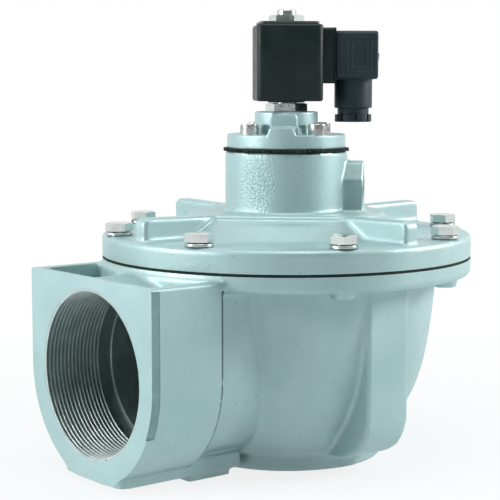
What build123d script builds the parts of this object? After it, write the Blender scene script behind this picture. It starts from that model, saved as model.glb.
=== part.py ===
from build123d import *
from math import cos, radians, sin, tan
import os

os.makedirs("parts", exist_ok=True)

# Right-angle diaphragm pulse valve, in millimetres.
# The origin is the centre of the outlet's mouth, +Z points up along the outlet axis and the
# inlet points along -Y. A bearing of phi degrees is the direction (sin phi, -cos phi).

# Main ports: a 3 inch parallel pipe thread, bored to its major diameter
port_r = 43.94
port_thread_length = 36.0
port_chamfer = 1.1

# Flanges, and the diaphragm that they clamp
flange_r = 101.8
seam_z = 110.0
body_flange_t = 8.8
cover_flange_t = 11.8
diaphragm_edge_t = 1.5
flange_round = 2.7
body_flange_low_z = seam_z - body_flange_t
cover_low_z = seam_z + diaphragm_edge_t
cover_flange_top_z = cover_low_z + cover_flange_t

# Cover bolts: M8 hexagon bolts on a circle
bolt_count = 8
bolt_edge = 7.6
bolt_circle_r = flange_r - bolt_edge
bolt_first_phi = 22.5
bolt_r = 4.0
bolt_clearance_hole_r = 4.5
bolt_tap_hole_r = 4.03
bolt_across_flats = 13.0
bolt_head_h = 5.0
bolt_head_cone_h = 1.0
bolt_length = 25.0
bolt_hole_extra = 1.0
spring_washer_r = 7.2
spring_washer_t = 2.0
spring_washer_split = 1.2
bolt_nub_r = 6.4
bolt_nub_drop = 3.3

# Bowl and outlet ring of the body. The bowl widens in three steps up to the flange's bolt nubs.
outlet_ring_r = 53.3
outlet_ring_h = 8.0
bowl_foot_r = outlet_ring_r - 1.0
bowl_nub_gap = 11.2
bowl_top_r = bolt_circle_r - bowl_nub_gap
bowl_mid_r = bowl_top_r - 5.0
bowl_mid_z = 58.9
bowl_low_r = bowl_top_r - 12.7
bowl_low_z = 34.4
bowl_wall = 5.5
bowl_floor_z = 16.0
chamber_r = bowl_top_r - bowl_wall

# Outlet tube and main seat
throat_r = 40.0
tube_outer_r = 46.5
seat_z = 106.0
seat_round = 1.5

# Inlet block, duct and foot
inlet_z = 57.7
inlet_length = 129.8
collar_r = 56.0
collar_length = 43.1
collar_top_z = 107.5
collar_round = 2.0
duct_r = 51.0
duct_bore_r = 41.0
relief_length = 4.0
foot_half_w = 26.5
foot_low_z = 3.2
foot_top_z = 12.0
foot_end_y = -53.5
foot_round = 2.0
pad_half_w = 25.0
pad_front_y = -86.0
pad_back_y = -59.0
pocket_front_wall = 4.2
pocket_side_wall = 6.5
pocket_floor_z = 78.0
pocket_back_gap = 1.7
crown_wall = 5.1
edge_groove_w = 3.0
edge_groove_depth = 0.8
edge_groove_inset = 1.6
edge_groove_low_z = 42.0

# Side buttresses under the flange
buttress_r = bowl_top_r
buttress_w = 28.0
buttress_foot_r = 23.0
buttress_foot_step = 0.4
buttress_round = 5.0
buttress_sink = 3.0

# Dome, chordal pad and ribs of the cover
dome_top_z = 131.7
dome_foot_r = chamber_r - 6.5
dome_shoulder_r = dome_foot_r - 14.5
dome_foot_round = 8.0
dome_shoulder_round = 6.0
pad_r = dome_shoulder_r - 2.5
pad_flat = 40.0
pad_top_z = 134.9
pad_flat_phi = 45.0
rib_count = 4
rib_t = 9.6
rib_end_inset = 3.0
rib_outer_r = flange_r - rib_end_inset
rib_rise = 0.9
rib_corner_round = 4.0
rib_edge_round = 2.0
cover_roof = 5.0
spring_pocket_r = 20.0
spring_pocket_top_z = 138.0

# Turret on the cover, with the exhaust port's boss
turret_r = 33.6
turret_top_z = 167.7
boss_phi = 135.0
boss_face_round = 1.2
boss_half_w = 12.0
boss_end = 43.0
boss_side_z = 152.0
boss_top_z = 162.3
boss_top_half_w = 6.0
exhaust_r = 6.58
exhaust_thread_length = 11.0
exhaust_z = 148.0
exhaust_drill_r = 4.8
exhaust_bridge_wall = 2.7
pilot_well_outer_r = 21.5
pilot_well_floor_z = 146.0
nozzle_outer_r = 13.5
nozzle_bore_r = 10.0
nozzle_floor_z = 142.2
pilot_seat_drop = 3.0
nozzle_lip_gap = 0.5
well_passage_r = 3.5
well_passage_count = 3

# Pilot cap
gasket_r = 34.2
gasket_t = 1.8
cap_r = 32.6
cap_plate_t = 7.6
cap_edge_round = 0.8
cap_column_r = 17.4
cap_column_h = 12.2
column_notch_w = 4.2
column_notch_h = 4.4
column_notch_depth = 1.5
column_notch_spread = 35.0
cap_screw_count = 4
cap_screw_edge = 6.6
cap_screw_circle_r = cap_r - cap_screw_edge
cap_screw_r = 3.0
cap_screw_tap_gap = 0.03
cap_screw_hole_extra = 1.5
cap_screw_head_r = 5.0
cap_screw_head_h = 5.9
cap_screw_length = 19.4
cap_screw_socket_af = 5.0
cap_screw_hole_r = 3.3
hump_phi = 45.0
hump_half_w = 6.2
hump_foot_flare = 1.5
hump_h = 4.0
hump_round = 1.2
column_pad_half_w = 7.0
column_pad_out = 18.3
column_pad_drop = 1.2
column_pad_round = 2.0
pilot_chamber_r = 21.5
pilot_chamber_h = 5.0
pilot_spring_well_r = 9.0
pilot_spring_well_top = 12.2
solenoid_well_r = 8.0
solenoid_well_depth = 5.4
orifice_seat_r = 2.6
orifice_seat_h = 2.2
orifice_r = 1.2
hump_channel_r = 1.4
slant_vent_r = 1.0
slant_vent_foot_r = 15.0

cap_low_z = turret_top_z + gasket_t
cap_plate_top_z = cap_low_z + cap_plate_t
cap_top_z = cap_plate_top_z + cap_column_h
cap_screw_head_top_z = cap_plate_top_z + cap_screw_head_h

# Main diaphragm and the plates that grip its centre
diaphragm_t = 2.5
bend_clearance = 0.3
main_bend_w = 17.2
main_bend_r = chamber_r - bend_clearance
diaphragm_inner_bend_r = main_bend_r - main_bend_w
main_bolt_r = 5.0
main_plate_gap = 0.1
plate_bend_gap = 8.0
top_plate_r = diaphragm_inner_bend_r - plate_bend_gap
top_plate_t = 2.5
plate_edge_round = 1.0
bottom_plate_r = 36.0
bottom_plate_t = 2.5
main_bolt_af = 17.0
main_bolt_head_h = 6.4
main_nut_h = 8.0
main_washer_r = 8.9
main_washer_t = 1.6
main_bolt_end = 2.0

# Pilot diaphragm
pilot_disc_t = 1.6
pilot_plate_r = 12.0
pilot_plate_t = 1.2
pilot_rivet_r = 2.0
pilot_rivet_head_r = 3.6
pilot_rivet_head_t = 1.2
pilot_bend_r = 15.0

# Springs, coiled from wire with an eight-sided section
wire_sides = 8
main_spring_r = 14.0
main_spring_wire_r = 1.2
main_spring_turns = 4.0
pilot_spring_r = 6.0
pilot_spring_wire_r = 0.5
pilot_spring_turns = 5.0
plunger_spring_r = 2.0
plunger_spring_wire_r = 0.3
plunger_spring_turns = 6.0
spring_seat_gap = 0.05

# Guide tube, fixed core and plunger
tube_hex_af = 20.0
tube_hex_h = 4.6
tube_r = 6.5
tube_bore_r = 5.6
tube_top_z = 236.0
fixed_core_length = 18.0
stud_r = 5.4
stud_end_z = 244.8
plunger_clearance = 0.06
plunger_stroke = 1.7
plunger_end_gap = 0.1
plunger_slot_w = 1.6
plunger_slot_depth = 0.9
seal_r = 3.2
seal_t = 2.6
seal_proud = 0.6
ring_outer_r = 4.6
ring_inner_r = 3.7
ring_t = 1.5
o_ring_wire_r = 0.9

# Coil and its yoke plate. The connector leaves the coil at connector_phi.
connector_phi = 145.4
coil_low_z = 195.0
coil_top_z = 236.4
coil_back = 17.5
coil_front = 18.4
coil_half_w = 19.0
coil_round = 3.0
coil_edge_round = 1.4
coil_collar_r = 10.2
coil_running_gap = 0.05
coil_axial_gap = 0.3
yoke_plate_t = 1.6
yoke_plate_half_w = 16.0
yoke_plate_round = 2.0
coil_nut_af = 17.0
coil_nut_h = 3.5

# Connector, measured out from the valve's axis along connector_phi
pedestal_out = 24.5
pedestal_low_z = 204.6
pedestal_high_z = 234.8
pedestal_half_w = 13.0
connector_gasket_t = 1.5
housing_end = 49.0
housing_low_z = 206.9
housing_high_z = 233.1
housing_half_w = 13.5
housing_round = 2.5
housing_wall = 2.4
panel_half_u = 6.5
panel_centre_u = 39.0
panel_low_z = 211.0
panel_high_z = 229.0
panel_depth = 0.6
panel_round = 1.0
gland_centre_u = 37.1
gland_r = 10.4
gland_low_z = 191.2
neck_r = 8.6
neck_low_z = 185.8
grommet_r = 7.4
grommet_hole_r = 4.0
grommet_length = 8.0
gland_washer_t = 0.8
gland_hole_r = 5.5
gland_nut_r = 10.1
gland_nut_top_z = 187.7
gland_nut_floor_t = 1.4
gland_nut_slots = 8
blade_w = 6.0
blade_t = 0.8
blade_length = 12.0
blade_spread = 7.0
insert_half_w = 9.6
insert_half_h = 9.0
insert_length = 13.0
insert_slot_gap = 0.1
connector_screw_r = 1.5
connector_screw_head_r = 2.9
connector_screw_head_h = 2.0
connector_screw_slot_w = 0.8
pedestal_root = 2.0
pedestal_round = 2.0

# How far a cut runs past the face that it starts from, and how deep one shape is sunk in another
overrun = 5.0
overlap = 1.0


def bearing_plane(phi, out, z):
    """Upright plane that faces outwards at bearing phi, out millimetres from the axis, at height z."""
    a = radians(phi)
    outward = (sin(a), -cos(a), 0)
    across = (cos(a), sin(a), 0)
    return Plane(origin=(out * sin(a), -out * cos(a), z), x_dir=across, z_dir=outward)


def bowl_line(inset):
    """The bowl's flank, from its foot to the flange, moved in by inset."""
    return Spline(
        (bowl_foot_r - inset, outlet_ring_h),
        (bowl_low_r - inset, bowl_low_z),
        (bowl_mid_r - inset, bowl_mid_z),
        (bowl_top_r - inset, body_flange_low_z),
        tangents=[(0.72, 1.0), (0.06, 1.0)],
    )


def inlet_outline(r, top_z):
    """D-shaped section about the inlet axis: round below, square and flat-topped above."""
    with Locations((0, inlet_z)):
        Circle(r)
        Rectangle(2 * r, 2 * r, align=(Align.CENTER, Align.MIN))
    with Locations((0, foot_low_z)):
        Rectangle(2 * r, top_z - foot_low_z, align=(Align.CENTER, Align.MIN), mode=Mode.INTERSECT)


def circles_of(part, r):
    """Circular edges of one radius, from the lowest up."""
    circles = part.edges().filter_by(GeomType.CIRCLE)
    return circles.filter_by(lambda e: abs(e.radius - r) < 0.01).sort_by(Axis.Z)


def finish(builder, label):
    """Name the finished piece and write its file."""
    builder.part.label = label
    export_step(builder.part, "parts/" + label + ".step")


# Valve body, first piece: the buttress that runs down the bowl at right angles to the inlet
buttress_foot_z = outlet_ring_h + buttress_foot_step
buttress_top_z = body_flange_low_z + buttress_sink
with BuildPart() as buttress:
    with BuildSketch(Plane.XZ):
        with BuildLine():
            Polyline(
                (throat_r, buttress_top_z),
                (throat_r, buttress_foot_z),
                (buttress_r - buttress_foot_r, buttress_foot_z),
            )
            RadiusArc(
                (buttress_r - buttress_foot_r, buttress_foot_z),
                (buttress_r, buttress_foot_z + buttress_foot_r),
                -buttress_foot_r,
            )
            Polyline(
                (buttress_r, buttress_foot_z + buttress_foot_r),
                (buttress_r, buttress_top_z),
                (throat_r, buttress_top_z),
            )
        make_face()
    extrude(amount=buttress_w / 2, both=True)
    outer_edges = buttress.edges().filter_by(
        lambda e: abs(abs(e.center().Y) - buttress_w / 2) < 0.01
        and e.center().X > buttress_r - buttress_foot_r
        and e.center().Z < body_flange_low_z
    )
    fillet(outer_edges, buttress_round)

# Valve body, second piece: the two open pockets beside the inlet bore's crown
with BuildPart() as pockets:
    with BuildSketch(Plane.XZ.offset(inlet_length - pocket_front_wall)):
        with Locations((0, pocket_floor_z)):
            Rectangle(
                2 * (collar_r - pocket_side_wall),
                collar_top_z - pocket_floor_z + overrun,
                align=(Align.CENTER, Align.MIN),
            )
        with Locations((0, inlet_z)):
            Circle(port_r + crown_wall, mode=Mode.SUBTRACT)
    extrude(amount=-inlet_length)
    with Locations((0, 0, pocket_floor_z - overrun)):
        Cylinder(
            flange_r + pocket_back_gap,
            collar_top_z - pocket_floor_z + 3 * overrun,
            align=(Align.CENTER, Align.CENTER, Align.MIN),
            mode=Mode.SUBTRACT,
        )
    with BuildSketch(Plane.XZ):
        Rectangle(4 * flange_r, 4 * collar_top_z)
    extrude(amount=-2 * flange_r, mode=Mode.SUBTRACT)

# Valve body: one casting of bowl, outlet tube with the main seat, duct, inlet block and foot
with BuildPart() as valve_body:
    with BuildSketch(Plane.XZ):
        with BuildLine():
            Polyline(
                (0, 0),
                (outlet_ring_r, 0),
                (outlet_ring_r, outlet_ring_h),
                (bowl_foot_r, outlet_ring_h),
            )
            bowl_line(0)
            Polyline(
                (bowl_top_r, body_flange_low_z),
                (flange_r, body_flange_low_z),
                (flange_r, seam_z),
                (0, seam_z),
                (0, 0),
            )
        make_face()
    revolve(axis=Axis.Z)
    fillet(circles_of(valve_body, flange_r)[0], flange_round)

    add(buttress.part)
    add(buttress.part, rotation=(0, 0, 180))

    # Inlet block and the narrower duct behind it
    with BuildSketch(Plane.XZ.offset(inlet_length)) as block_face:
        inlet_outline(collar_r, collar_top_z)
        fillet(block_face.vertices().group_by(Axis.Y)[-1], collar_round)
    extrude(amount=-collar_length)
    with BuildSketch(Plane.XZ.offset(inlet_length - collar_length)):
        inlet_outline(duct_r, body_flange_low_z + overlap)
    extrude(amount=-(inlet_length - collar_length - tube_outer_r))

    # Foot slab under the inlet block, with the pad that stands level with the outlet ring
    with BuildSketch(Plane.XY.offset(foot_low_z)) as slab:
        with Locations((0, (foot_end_y - inlet_length) / 2)):
            Rectangle(2 * foot_half_w, inlet_length + foot_end_y)
        fillet(slab.vertices().group_by(Axis.Y)[-1], foot_round)
    extrude(amount=foot_top_z - foot_low_z)
    with BuildSketch():
        with Locations((0, (pad_front_y + pad_back_y) / 2)):
            RectangleRounded(2 * pad_half_w, pad_back_y - pad_front_y, foot_round)
    extrude(amount=foot_low_z + overlap)

    # Nubs under the flange around the tapped holes
    with BuildSketch(Plane.XY.offset(body_flange_low_z - bolt_nub_drop)):
        with PolarLocations(bolt_circle_r, bolt_count, start_angle=bolt_first_phi - 90):
            Circle(bolt_nub_r)
    extrude(amount=bolt_nub_drop + overlap)

    add(pockets.part, mode=Mode.SUBTRACT)

    # Ring chamber between the outlet tube and the bowl's wall, open under the diaphragm
    with BuildSketch(Plane.XZ):
        with BuildLine():
            bowl_line(bowl_wall)
            Polyline(
                (bowl_top_r - bowl_wall, body_flange_low_z),
                (chamber_r, seam_z),
                (0, seam_z),
                (0, seat_z),
                (tube_outer_r, seat_z),
                (tube_outer_r, outlet_ring_h),
                (bowl_foot_r - bowl_wall, outlet_ring_h),
            )
        make_face()
        Rectangle(2 * flange_r, 2 * bowl_floor_z, mode=Mode.SUBTRACT)
    revolve(axis=Axis.Z, mode=Mode.SUBTRACT)

    # Outlet thread bore and throat
    with BuildSketch():
        Circle(port_r)
    extrude(amount=port_thread_length, mode=Mode.SUBTRACT)
    with BuildSketch():
        Circle(throat_r)
    extrude(amount=seam_z, mode=Mode.SUBTRACT)

    # Inlet thread bore with its relief, then the rougher duct bore that opens into the ring chamber
    with BuildSketch(Plane.XZ.offset(inlet_length)):
        with Locations((0, inlet_z)):
            Circle(port_r)
    extrude(amount=-(port_thread_length + relief_length), mode=Mode.SUBTRACT)
    with BuildSketch(Plane.XZ.offset(inlet_length)):
        with Locations((0, inlet_z)):
            Circle(duct_bore_r)
    extrude(amount=-(inlet_length - tube_outer_r - overrun), mode=Mode.SUBTRACT)

    # Tapped holes for the cover bolts
    with BuildSketch(Plane.XY.offset(seam_z)):
        with PolarLocations(bolt_circle_r, bolt_count, start_angle=bolt_first_phi - 90):
            Circle(bolt_tap_hole_r)
    bolt_end_z = cover_flange_top_z + spring_washer_t - bolt_length
    extrude(amount=-(seam_z - bolt_end_z + bolt_hole_extra), mode=Mode.SUBTRACT)

    # Chamfer at the inlet's mouth, and the rounded lip of the main seat
    mouth_edge = circles_of(valve_body, port_r).sort_by(Axis.Y)[0]
    chamfer(mouth_edge, port_chamfer)
    seat_edges = [circles_of(valve_body, throat_r)[-1], circles_of(valve_body, tube_outer_r)[-1]]
    fillet(seat_edges, seat_round)

    # Shallow groove behind the block's upright edge, where the die halves met
    with BuildSketch(Plane.YZ.offset(collar_r - edge_groove_depth)):
        with Locations((-inlet_length + edge_groove_inset, edge_groove_low_z)):
            Rectangle(
                edge_groove_w,
                collar_top_z - collar_round - edge_groove_low_z,
                align=(Align.MIN, Align.MIN),
            )
    extrude(amount=2 * edge_groove_depth, mode=Mode.SUBTRACT)
finish(valve_body, "valve_body")

# Top cover, first piece: one radial rib along +X, with its rounded end and edges
rib_root_z = cover_low_z + cover_flange_t / 2
rib_inner_r = turret_r - overrun
with BuildPart() as rib:
    with BuildSketch(Plane.XZ) as rib_side:
        with BuildLine():
            Polyline(
                (rib_inner_r, rib_root_z),
                (rib_outer_r, rib_root_z),
                (rib_outer_r, pad_top_z + rib_rise),
                (pad_r, pad_top_z),
                (rib_inner_r, pad_top_z),
                (rib_inner_r, rib_root_z),
            )
        make_face()
        fillet(rib_side.vertices().sort_by(lambda v: v.X + v.Y)[-1], rib_corner_round)
    extrude(amount=rib_t / 2, both=True)
    rib_edges = rib.edges().filter_by(
        lambda e: abs(abs(e.center().Y) - rib_t / 2) < 0.01
        and e.center().X > turret_r
        and e.center().Z > rib_root_z + overlap
    )
    fillet(rib_edges, rib_edge_round)

# Top cover: one casting of flange, dome, pad, ribs, turret and exhaust boss
with BuildPart() as top_cover:
    with BuildSketch(Plane.XZ) as dome:
        with BuildLine():
            Polyline(
                (0, cover_low_z),
                (flange_r, cover_low_z),
                (flange_r, cover_flange_top_z),
                (dome_foot_r, cover_flange_top_z),
                (dome_shoulder_r, dome_top_z),
                (0, dome_top_z),
                (0, cover_low_z),
            )
        make_face()
        for corner, corner_round in (
            ((dome_foot_r, cover_flange_top_z), dome_foot_round),
            ((dome_shoulder_r, dome_top_z), dome_shoulder_round),
            ((flange_r, cover_flange_top_z), flange_round),
        ):
            fillet(dome.vertices().sort_by_distance(corner)[0], corner_round)
    revolve(axis=Axis.Z)

    # Round pad with a flat chord towards the pilot passage
    with BuildSketch(Plane.XY.offset(dome_top_z - overlap)):
        Circle(pad_r)
        with Locations(Location((0, 0), pad_flat_phi - 90)):
            with Locations((pad_flat, 0)):
                Rectangle(pad_r, 2 * pad_r, align=(Align.MIN, Align.CENTER), mode=Mode.SUBTRACT)
    extrude(amount=pad_top_z - dome_top_z + overlap)

    with PolarLocations(0, rib_count):
        add(rib.part)

    # Turret and the faceted boss of the exhaust port
    with Locations((0, 0, dome_top_z)):
        Cylinder(turret_r, turret_top_z - dome_top_z, align=(Align.CENTER, Align.CENTER, Align.MIN))
    with BuildSketch(bearing_plane(boss_phi, boss_end, 0)):
        with BuildLine():
            Polyline(
                (-boss_half_w, dome_top_z),
                (-boss_half_w, boss_side_z),
                (-boss_top_half_w, boss_top_z),
                (boss_top_half_w, boss_top_z),
                (boss_half_w, boss_side_z),
                (boss_half_w, dome_top_z),
                close=True,
            )
        make_face()
    extrude(amount=-(boss_end - nozzle_outer_r))
    boss_face = top_cover.faces().filter_by(
        lambda f: abs(bearing_plane(boss_phi, boss_end, 0).to_local_coords(f.center()).Z) < 0.01
    )[0]
    fillet(boss_face.edges().filter_by(lambda e: e.center().Z > pad_top_z + overlap), boss_face_round)

    # Main chamber over the diaphragm, and the pocket for the main spring
    with BuildSketch(Plane.XZ):
        with BuildLine():
            Polyline(
                (0, cover_low_z),
                (chamber_r, cover_low_z),
                (dome_foot_r - cover_roof, cover_flange_top_z - cover_roof),
                (dome_shoulder_r - cover_roof / 2, dome_top_z - cover_roof),
                (spring_pocket_r, dome_top_z - cover_roof),
                (spring_pocket_r, spring_pocket_top_z),
                (0, spring_pocket_top_z),
                (0, cover_low_z),
            )
        make_face()
    revolve(axis=Axis.Z, mode=Mode.SUBTRACT)

    # Pilot well around the pilot nozzle, with passages down to the main chamber
    pilot_seat_z = turret_top_z - pilot_seat_drop
    with BuildSketch(Plane.XY.offset(turret_top_z)):
        Circle(pilot_well_outer_r)
        Circle(nozzle_outer_r, mode=Mode.SUBTRACT)
    extrude(amount=-(turret_top_z - pilot_well_floor_z), mode=Mode.SUBTRACT)
    with BuildSketch(Plane.XY.offset(turret_top_z)):
        Circle(nozzle_outer_r + nozzle_lip_gap)
    extrude(amount=-pilot_seat_drop, mode=Mode.SUBTRACT)
    passage_r = (pilot_well_outer_r + nozzle_outer_r) / 2
    with BuildSketch(Plane.XY.offset(spring_pocket_top_z - overlap)):
        with PolarLocations(passage_r, well_passage_count, start_angle=boss_phi, angular_range=180):
            Circle(well_passage_r)
    extrude(amount=pilot_well_floor_z - spring_pocket_top_z + 2 * overlap, mode=Mode.SUBTRACT)

    # Bridge across the well for the exhaust drilling, then the nozzle, drilling and port
    with BuildSketch(bearing_plane(boss_phi, pilot_well_outer_r + overlap, exhaust_z)):
        Circle(exhaust_drill_r + exhaust_bridge_wall)
    extrude(amount=-(pilot_well_outer_r + 2 * overlap - nozzle_outer_r))
    with BuildSketch(Plane.XY.offset(nozzle_floor_z)):
        Circle(nozzle_bore_r)
    extrude(amount=turret_top_z, mode=Mode.SUBTRACT)
    with BuildSketch(bearing_plane(boss_phi, boss_end, exhaust_z)):
        Circle(exhaust_drill_r)
    extrude(amount=-(boss_end - nozzle_bore_r + 3 * overlap), mode=Mode.SUBTRACT)
    with BuildSketch(bearing_plane(boss_phi, boss_end, exhaust_z)):
        Circle(exhaust_r)
    extrude(amount=-exhaust_thread_length, mode=Mode.SUBTRACT)

    # Holes for the cover bolts and tapped holes for the cap screws
    with BuildSketch(Plane.XY.offset(cover_low_z)):
        with PolarLocations(bolt_circle_r, bolt_count, start_angle=bolt_first_phi - 90):
            Circle(bolt_clearance_hole_r)
    extrude(amount=2 * cover_flange_t, mode=Mode.SUBTRACT)
    cap_screw_end_z = cap_plate_top_z - cap_screw_length
    with BuildSketch(Plane.XY.offset(turret_top_z)):
        with PolarLocations(cap_screw_circle_r, cap_screw_count):
            Circle(cap_screw_r + cap_screw_tap_gap)
    extrude(amount=-(turret_top_z - cap_screw_end_z + cap_screw_hole_extra), mode=Mode.SUBTRACT)
finish(top_cover, "top_cover")

# Main diaphragm: clamped rim, rolled bend and the centre disc that closes the seat
disc_top_z = seat_z + diaphragm_t
diaphragm_rim_r = flange_r - bend_clearance
with BuildPart() as main_diaphragm:
    with BuildSketch(Plane.XZ):
        with BuildLine():
            Polyline(
                (main_bend_r, cover_low_z),
                (diaphragm_rim_r, cover_low_z),
                (diaphragm_rim_r, seam_z),
                (main_bend_r, seam_z),
            )
            Spline(
                (main_bend_r, seam_z),
                (diaphragm_inner_bend_r, seat_z),
                tangents=[(-1, 0), (-1, 0)],
            )
            Polyline(
                (diaphragm_inner_bend_r, seat_z),
                (main_bolt_r + 0.1, seat_z),
                (main_bolt_r + 0.1, disc_top_z),
                (diaphragm_inner_bend_r, disc_top_z),
            )
            Spline(
                (diaphragm_inner_bend_r, disc_top_z),
                (main_bend_r, cover_low_z),
                tangents=[(1, 0), (1, 0)],
            )
        make_face()
    revolve(axis=Axis.Z)
    with BuildSketch(Plane.XY.offset(seam_z)):
        with PolarLocations(bolt_circle_r, bolt_count, start_angle=bolt_first_phi - 90):
            Circle(bolt_clearance_hole_r)
    extrude(amount=diaphragm_edge_t, mode=Mode.SUBTRACT)
finish(main_diaphragm, "main_diaphragm")

# Upper plate: a steel disc with a raised middle, over the diaphragm's centre
top_plate_low_z = disc_top_z + main_plate_gap
top_plate_top_z = top_plate_low_z + top_plate_t
with BuildPart() as main_top_plate:
    with BuildSketch(Plane.XY.offset(top_plate_low_z)):
        Circle(top_plate_r)
        Circle(main_bolt_r + 0.05, mode=Mode.SUBTRACT)
    extrude(amount=top_plate_t)
    fillet(circles_of(main_top_plate, top_plate_r)[-1], plate_edge_round)
finish(main_top_plate, "main_top_plate")

# Lower plate: hangs in the throat under the rubber
bottom_plate_top_z = seat_z - main_plate_gap
with BuildPart() as main_bottom_plate:
    with BuildSketch(Plane.XY.offset(bottom_plate_top_z)):
        Circle(bottom_plate_r)
        Circle(main_bolt_r + 0.05, mode=Mode.SUBTRACT)
    extrude(amount=-bottom_plate_t)
    chamfer(circles_of(main_bottom_plate, bottom_plate_r)[0], plate_edge_round)
finish(main_bottom_plate, "main_bottom_plate")

# Centre bolt, lock washer and nut that clamp the two plates on the rubber
bottom_plate_low_z = bottom_plate_top_z - bottom_plate_t
nut_low_z = top_plate_top_z + main_washer_t
nut_top_z = nut_low_z + main_nut_h
with BuildPart() as main_bolt:
    with BuildSketch(Plane.XY.offset(bottom_plate_low_z)):
        RegularPolygon(main_bolt_af / 2, 6, major_radius=False)
    extrude(amount=-main_bolt_head_h)
    with BuildSketch(Plane.XY.offset(bottom_plate_low_z)):
        Circle(main_bolt_r)
    extrude(amount=nut_top_z + main_bolt_end - bottom_plate_low_z)
    chamfer(circles_of(main_bolt, main_bolt_r)[-1], 0.8)
finish(main_bolt, "main_bolt")

with BuildPart() as main_lock_washer:
    with BuildSketch(Plane.XY.offset(top_plate_top_z)):
        Circle(main_washer_r)
        Circle(main_bolt_r + 0.2, mode=Mode.SUBTRACT)
    extrude(amount=main_washer_t)
finish(main_lock_washer, "main_lock_washer")

with BuildPart() as main_nut:
    with BuildSketch(Plane.XY.offset(nut_low_z)):
        RegularPolygon(main_bolt_af / 2, 6, major_radius=False)
        Circle(main_bolt_r + 0.02, mode=Mode.SUBTRACT)
    extrude(amount=main_nut_h)
finish(main_nut, "main_nut")


def coil_spring(low_z, high_z, r, wire_r, turns):
    """Coil spring about the valve's axis that stands between two flat seats."""
    low = low_z + wire_r + spring_seat_gap
    high = high_z - wire_r - spring_seat_gap
    with BuildPart() as spring:
        with BuildLine():
            path = Helix(pitch=(high - low) / turns, height=high - low, radius=r, center=(0, 0, low))
        with BuildSketch(Plane(origin=path @ 0, x_dir=(0, 0, 1), z_dir=path % 0)):
            RegularPolygon(wire_r, wire_sides)
        sweep(path=path)
    return spring


main_spring = coil_spring(
    top_plate_top_z, spring_pocket_top_z, main_spring_r, main_spring_wire_r, main_spring_turns
)
finish(main_spring, "main_spring")

# Cover bolts: plain shanks and hexagon heads, whose corners are turned off by a 30 degree cone
bolt_seat_z = cover_flange_top_z + spring_washer_t
bolt_head_top_z = bolt_seat_z + bolt_head_h
head_corner_r = bolt_across_flats / 2 / cos(radians(30))
with BuildPart() as cover_bolt:
    with BuildSketch(Plane.XY.offset(bolt_seat_z)):
        RegularPolygon(bolt_across_flats / 2, 6, major_radius=False)
    extrude(amount=bolt_head_h)
    with BuildSketch(Plane.XZ):
        with BuildLine():
            Polyline(
                (0, bolt_seat_z),
                (head_corner_r, bolt_seat_z),
                (head_corner_r, bolt_head_top_z - bolt_head_cone_h),
                (head_corner_r - bolt_head_cone_h / tan(radians(30)), bolt_head_top_z),
                (0, bolt_head_top_z),
                (0, bolt_seat_z),
            )
        make_face()
    revolve(axis=Axis.Z, mode=Mode.INTERSECT)
    with BuildSketch(Plane.XY.offset(bolt_seat_z)):
        Circle(bolt_r)
    extrude(amount=-bolt_length)
with BuildPart() as cover_bolts:
    with PolarLocations(bolt_circle_r, bolt_count, start_angle=bolt_first_phi - 90):
        add(cover_bolt.part)
finish(cover_bolts, "cover_bolts")

# Spring washers: rings split by a narrow gap
with BuildPart() as cover_spring_washers:
    with BuildSketch(Plane.XY.offset(cover_flange_top_z)):
        with PolarLocations(bolt_circle_r, bolt_count, start_angle=bolt_first_phi - 90):
            Circle(spring_washer_r)
            Circle(bolt_r + 0.1, mode=Mode.SUBTRACT)
            with Locations((0, -spring_washer_r)):
                Rectangle(spring_washer_split, spring_washer_r, mode=Mode.SUBTRACT)
    extrude(amount=spring_washer_t)
finish(cover_spring_washers, "cover_spring_washers")

# Pilot diaphragm: gasket rim with screw holes, bend and centre disc on the pilot nozzle
pilot_disc_top_z = pilot_seat_z + pilot_disc_t
bend_outer_r = pilot_well_outer_r - bend_clearance
with BuildPart() as pilot_diaphragm:
    with BuildSketch(Plane.XZ):
        with BuildLine():
            Polyline(
                (bend_outer_r, cap_low_z),
                (gasket_r, cap_low_z),
                (gasket_r, turret_top_z),
                (bend_outer_r, turret_top_z),
            )
            Spline(
                (bend_outer_r, turret_top_z), (pilot_bend_r, pilot_seat_z), tangents=[(-1, 0), (-1, 0)]
            )
            Polyline(
                (pilot_bend_r, pilot_seat_z),
                (pilot_rivet_r + 0.05, pilot_seat_z),
                (pilot_rivet_r + 0.05, pilot_disc_top_z),
                (pilot_bend_r, pilot_disc_top_z),
            )
            Spline(
                (pilot_bend_r, pilot_disc_top_z), (bend_outer_r, cap_low_z), tangents=[(1, 0), (1, 0)]
            )
        make_face()
    revolve(axis=Axis.Z)
    with BuildSketch(Plane.XY.offset(turret_top_z)):
        with PolarLocations(cap_screw_circle_r, cap_screw_count):
            Circle(cap_screw_hole_r)
    extrude(amount=gasket_t, mode=Mode.SUBTRACT)
finish(pilot_diaphragm, "pilot_diaphragm")

# Pilot plate on the rubber and the rivet through both
with BuildPart() as pilot_plate:
    with BuildSketch(Plane.XY.offset(pilot_disc_top_z + main_plate_gap)):
        Circle(pilot_plate_r)
        Circle(pilot_rivet_r + 0.02, mode=Mode.SUBTRACT)
    extrude(amount=pilot_plate_t)
finish(pilot_plate, "pilot_plate")

pilot_plate_top_z = pilot_disc_top_z + main_plate_gap + pilot_plate_t
with BuildPart() as pilot_rivet:
    with BuildSketch(Plane.XY.offset(pilot_seat_z - main_plate_gap)):
        Circle(pilot_rivet_head_r)
    extrude(amount=-pilot_rivet_head_t)
    with BuildSketch(Plane.XY.offset(pilot_seat_z - main_plate_gap)):
        Circle(pilot_rivet_r)
    extrude(amount=pilot_plate_top_z - pilot_seat_z + main_plate_gap)
    with BuildSketch(Plane.XY.offset(pilot_plate_top_z)):
        Circle(pilot_rivet_head_r)
    extrude(amount=pilot_rivet_head_t)
finish(pilot_rivet, "pilot_rivet")

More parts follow.
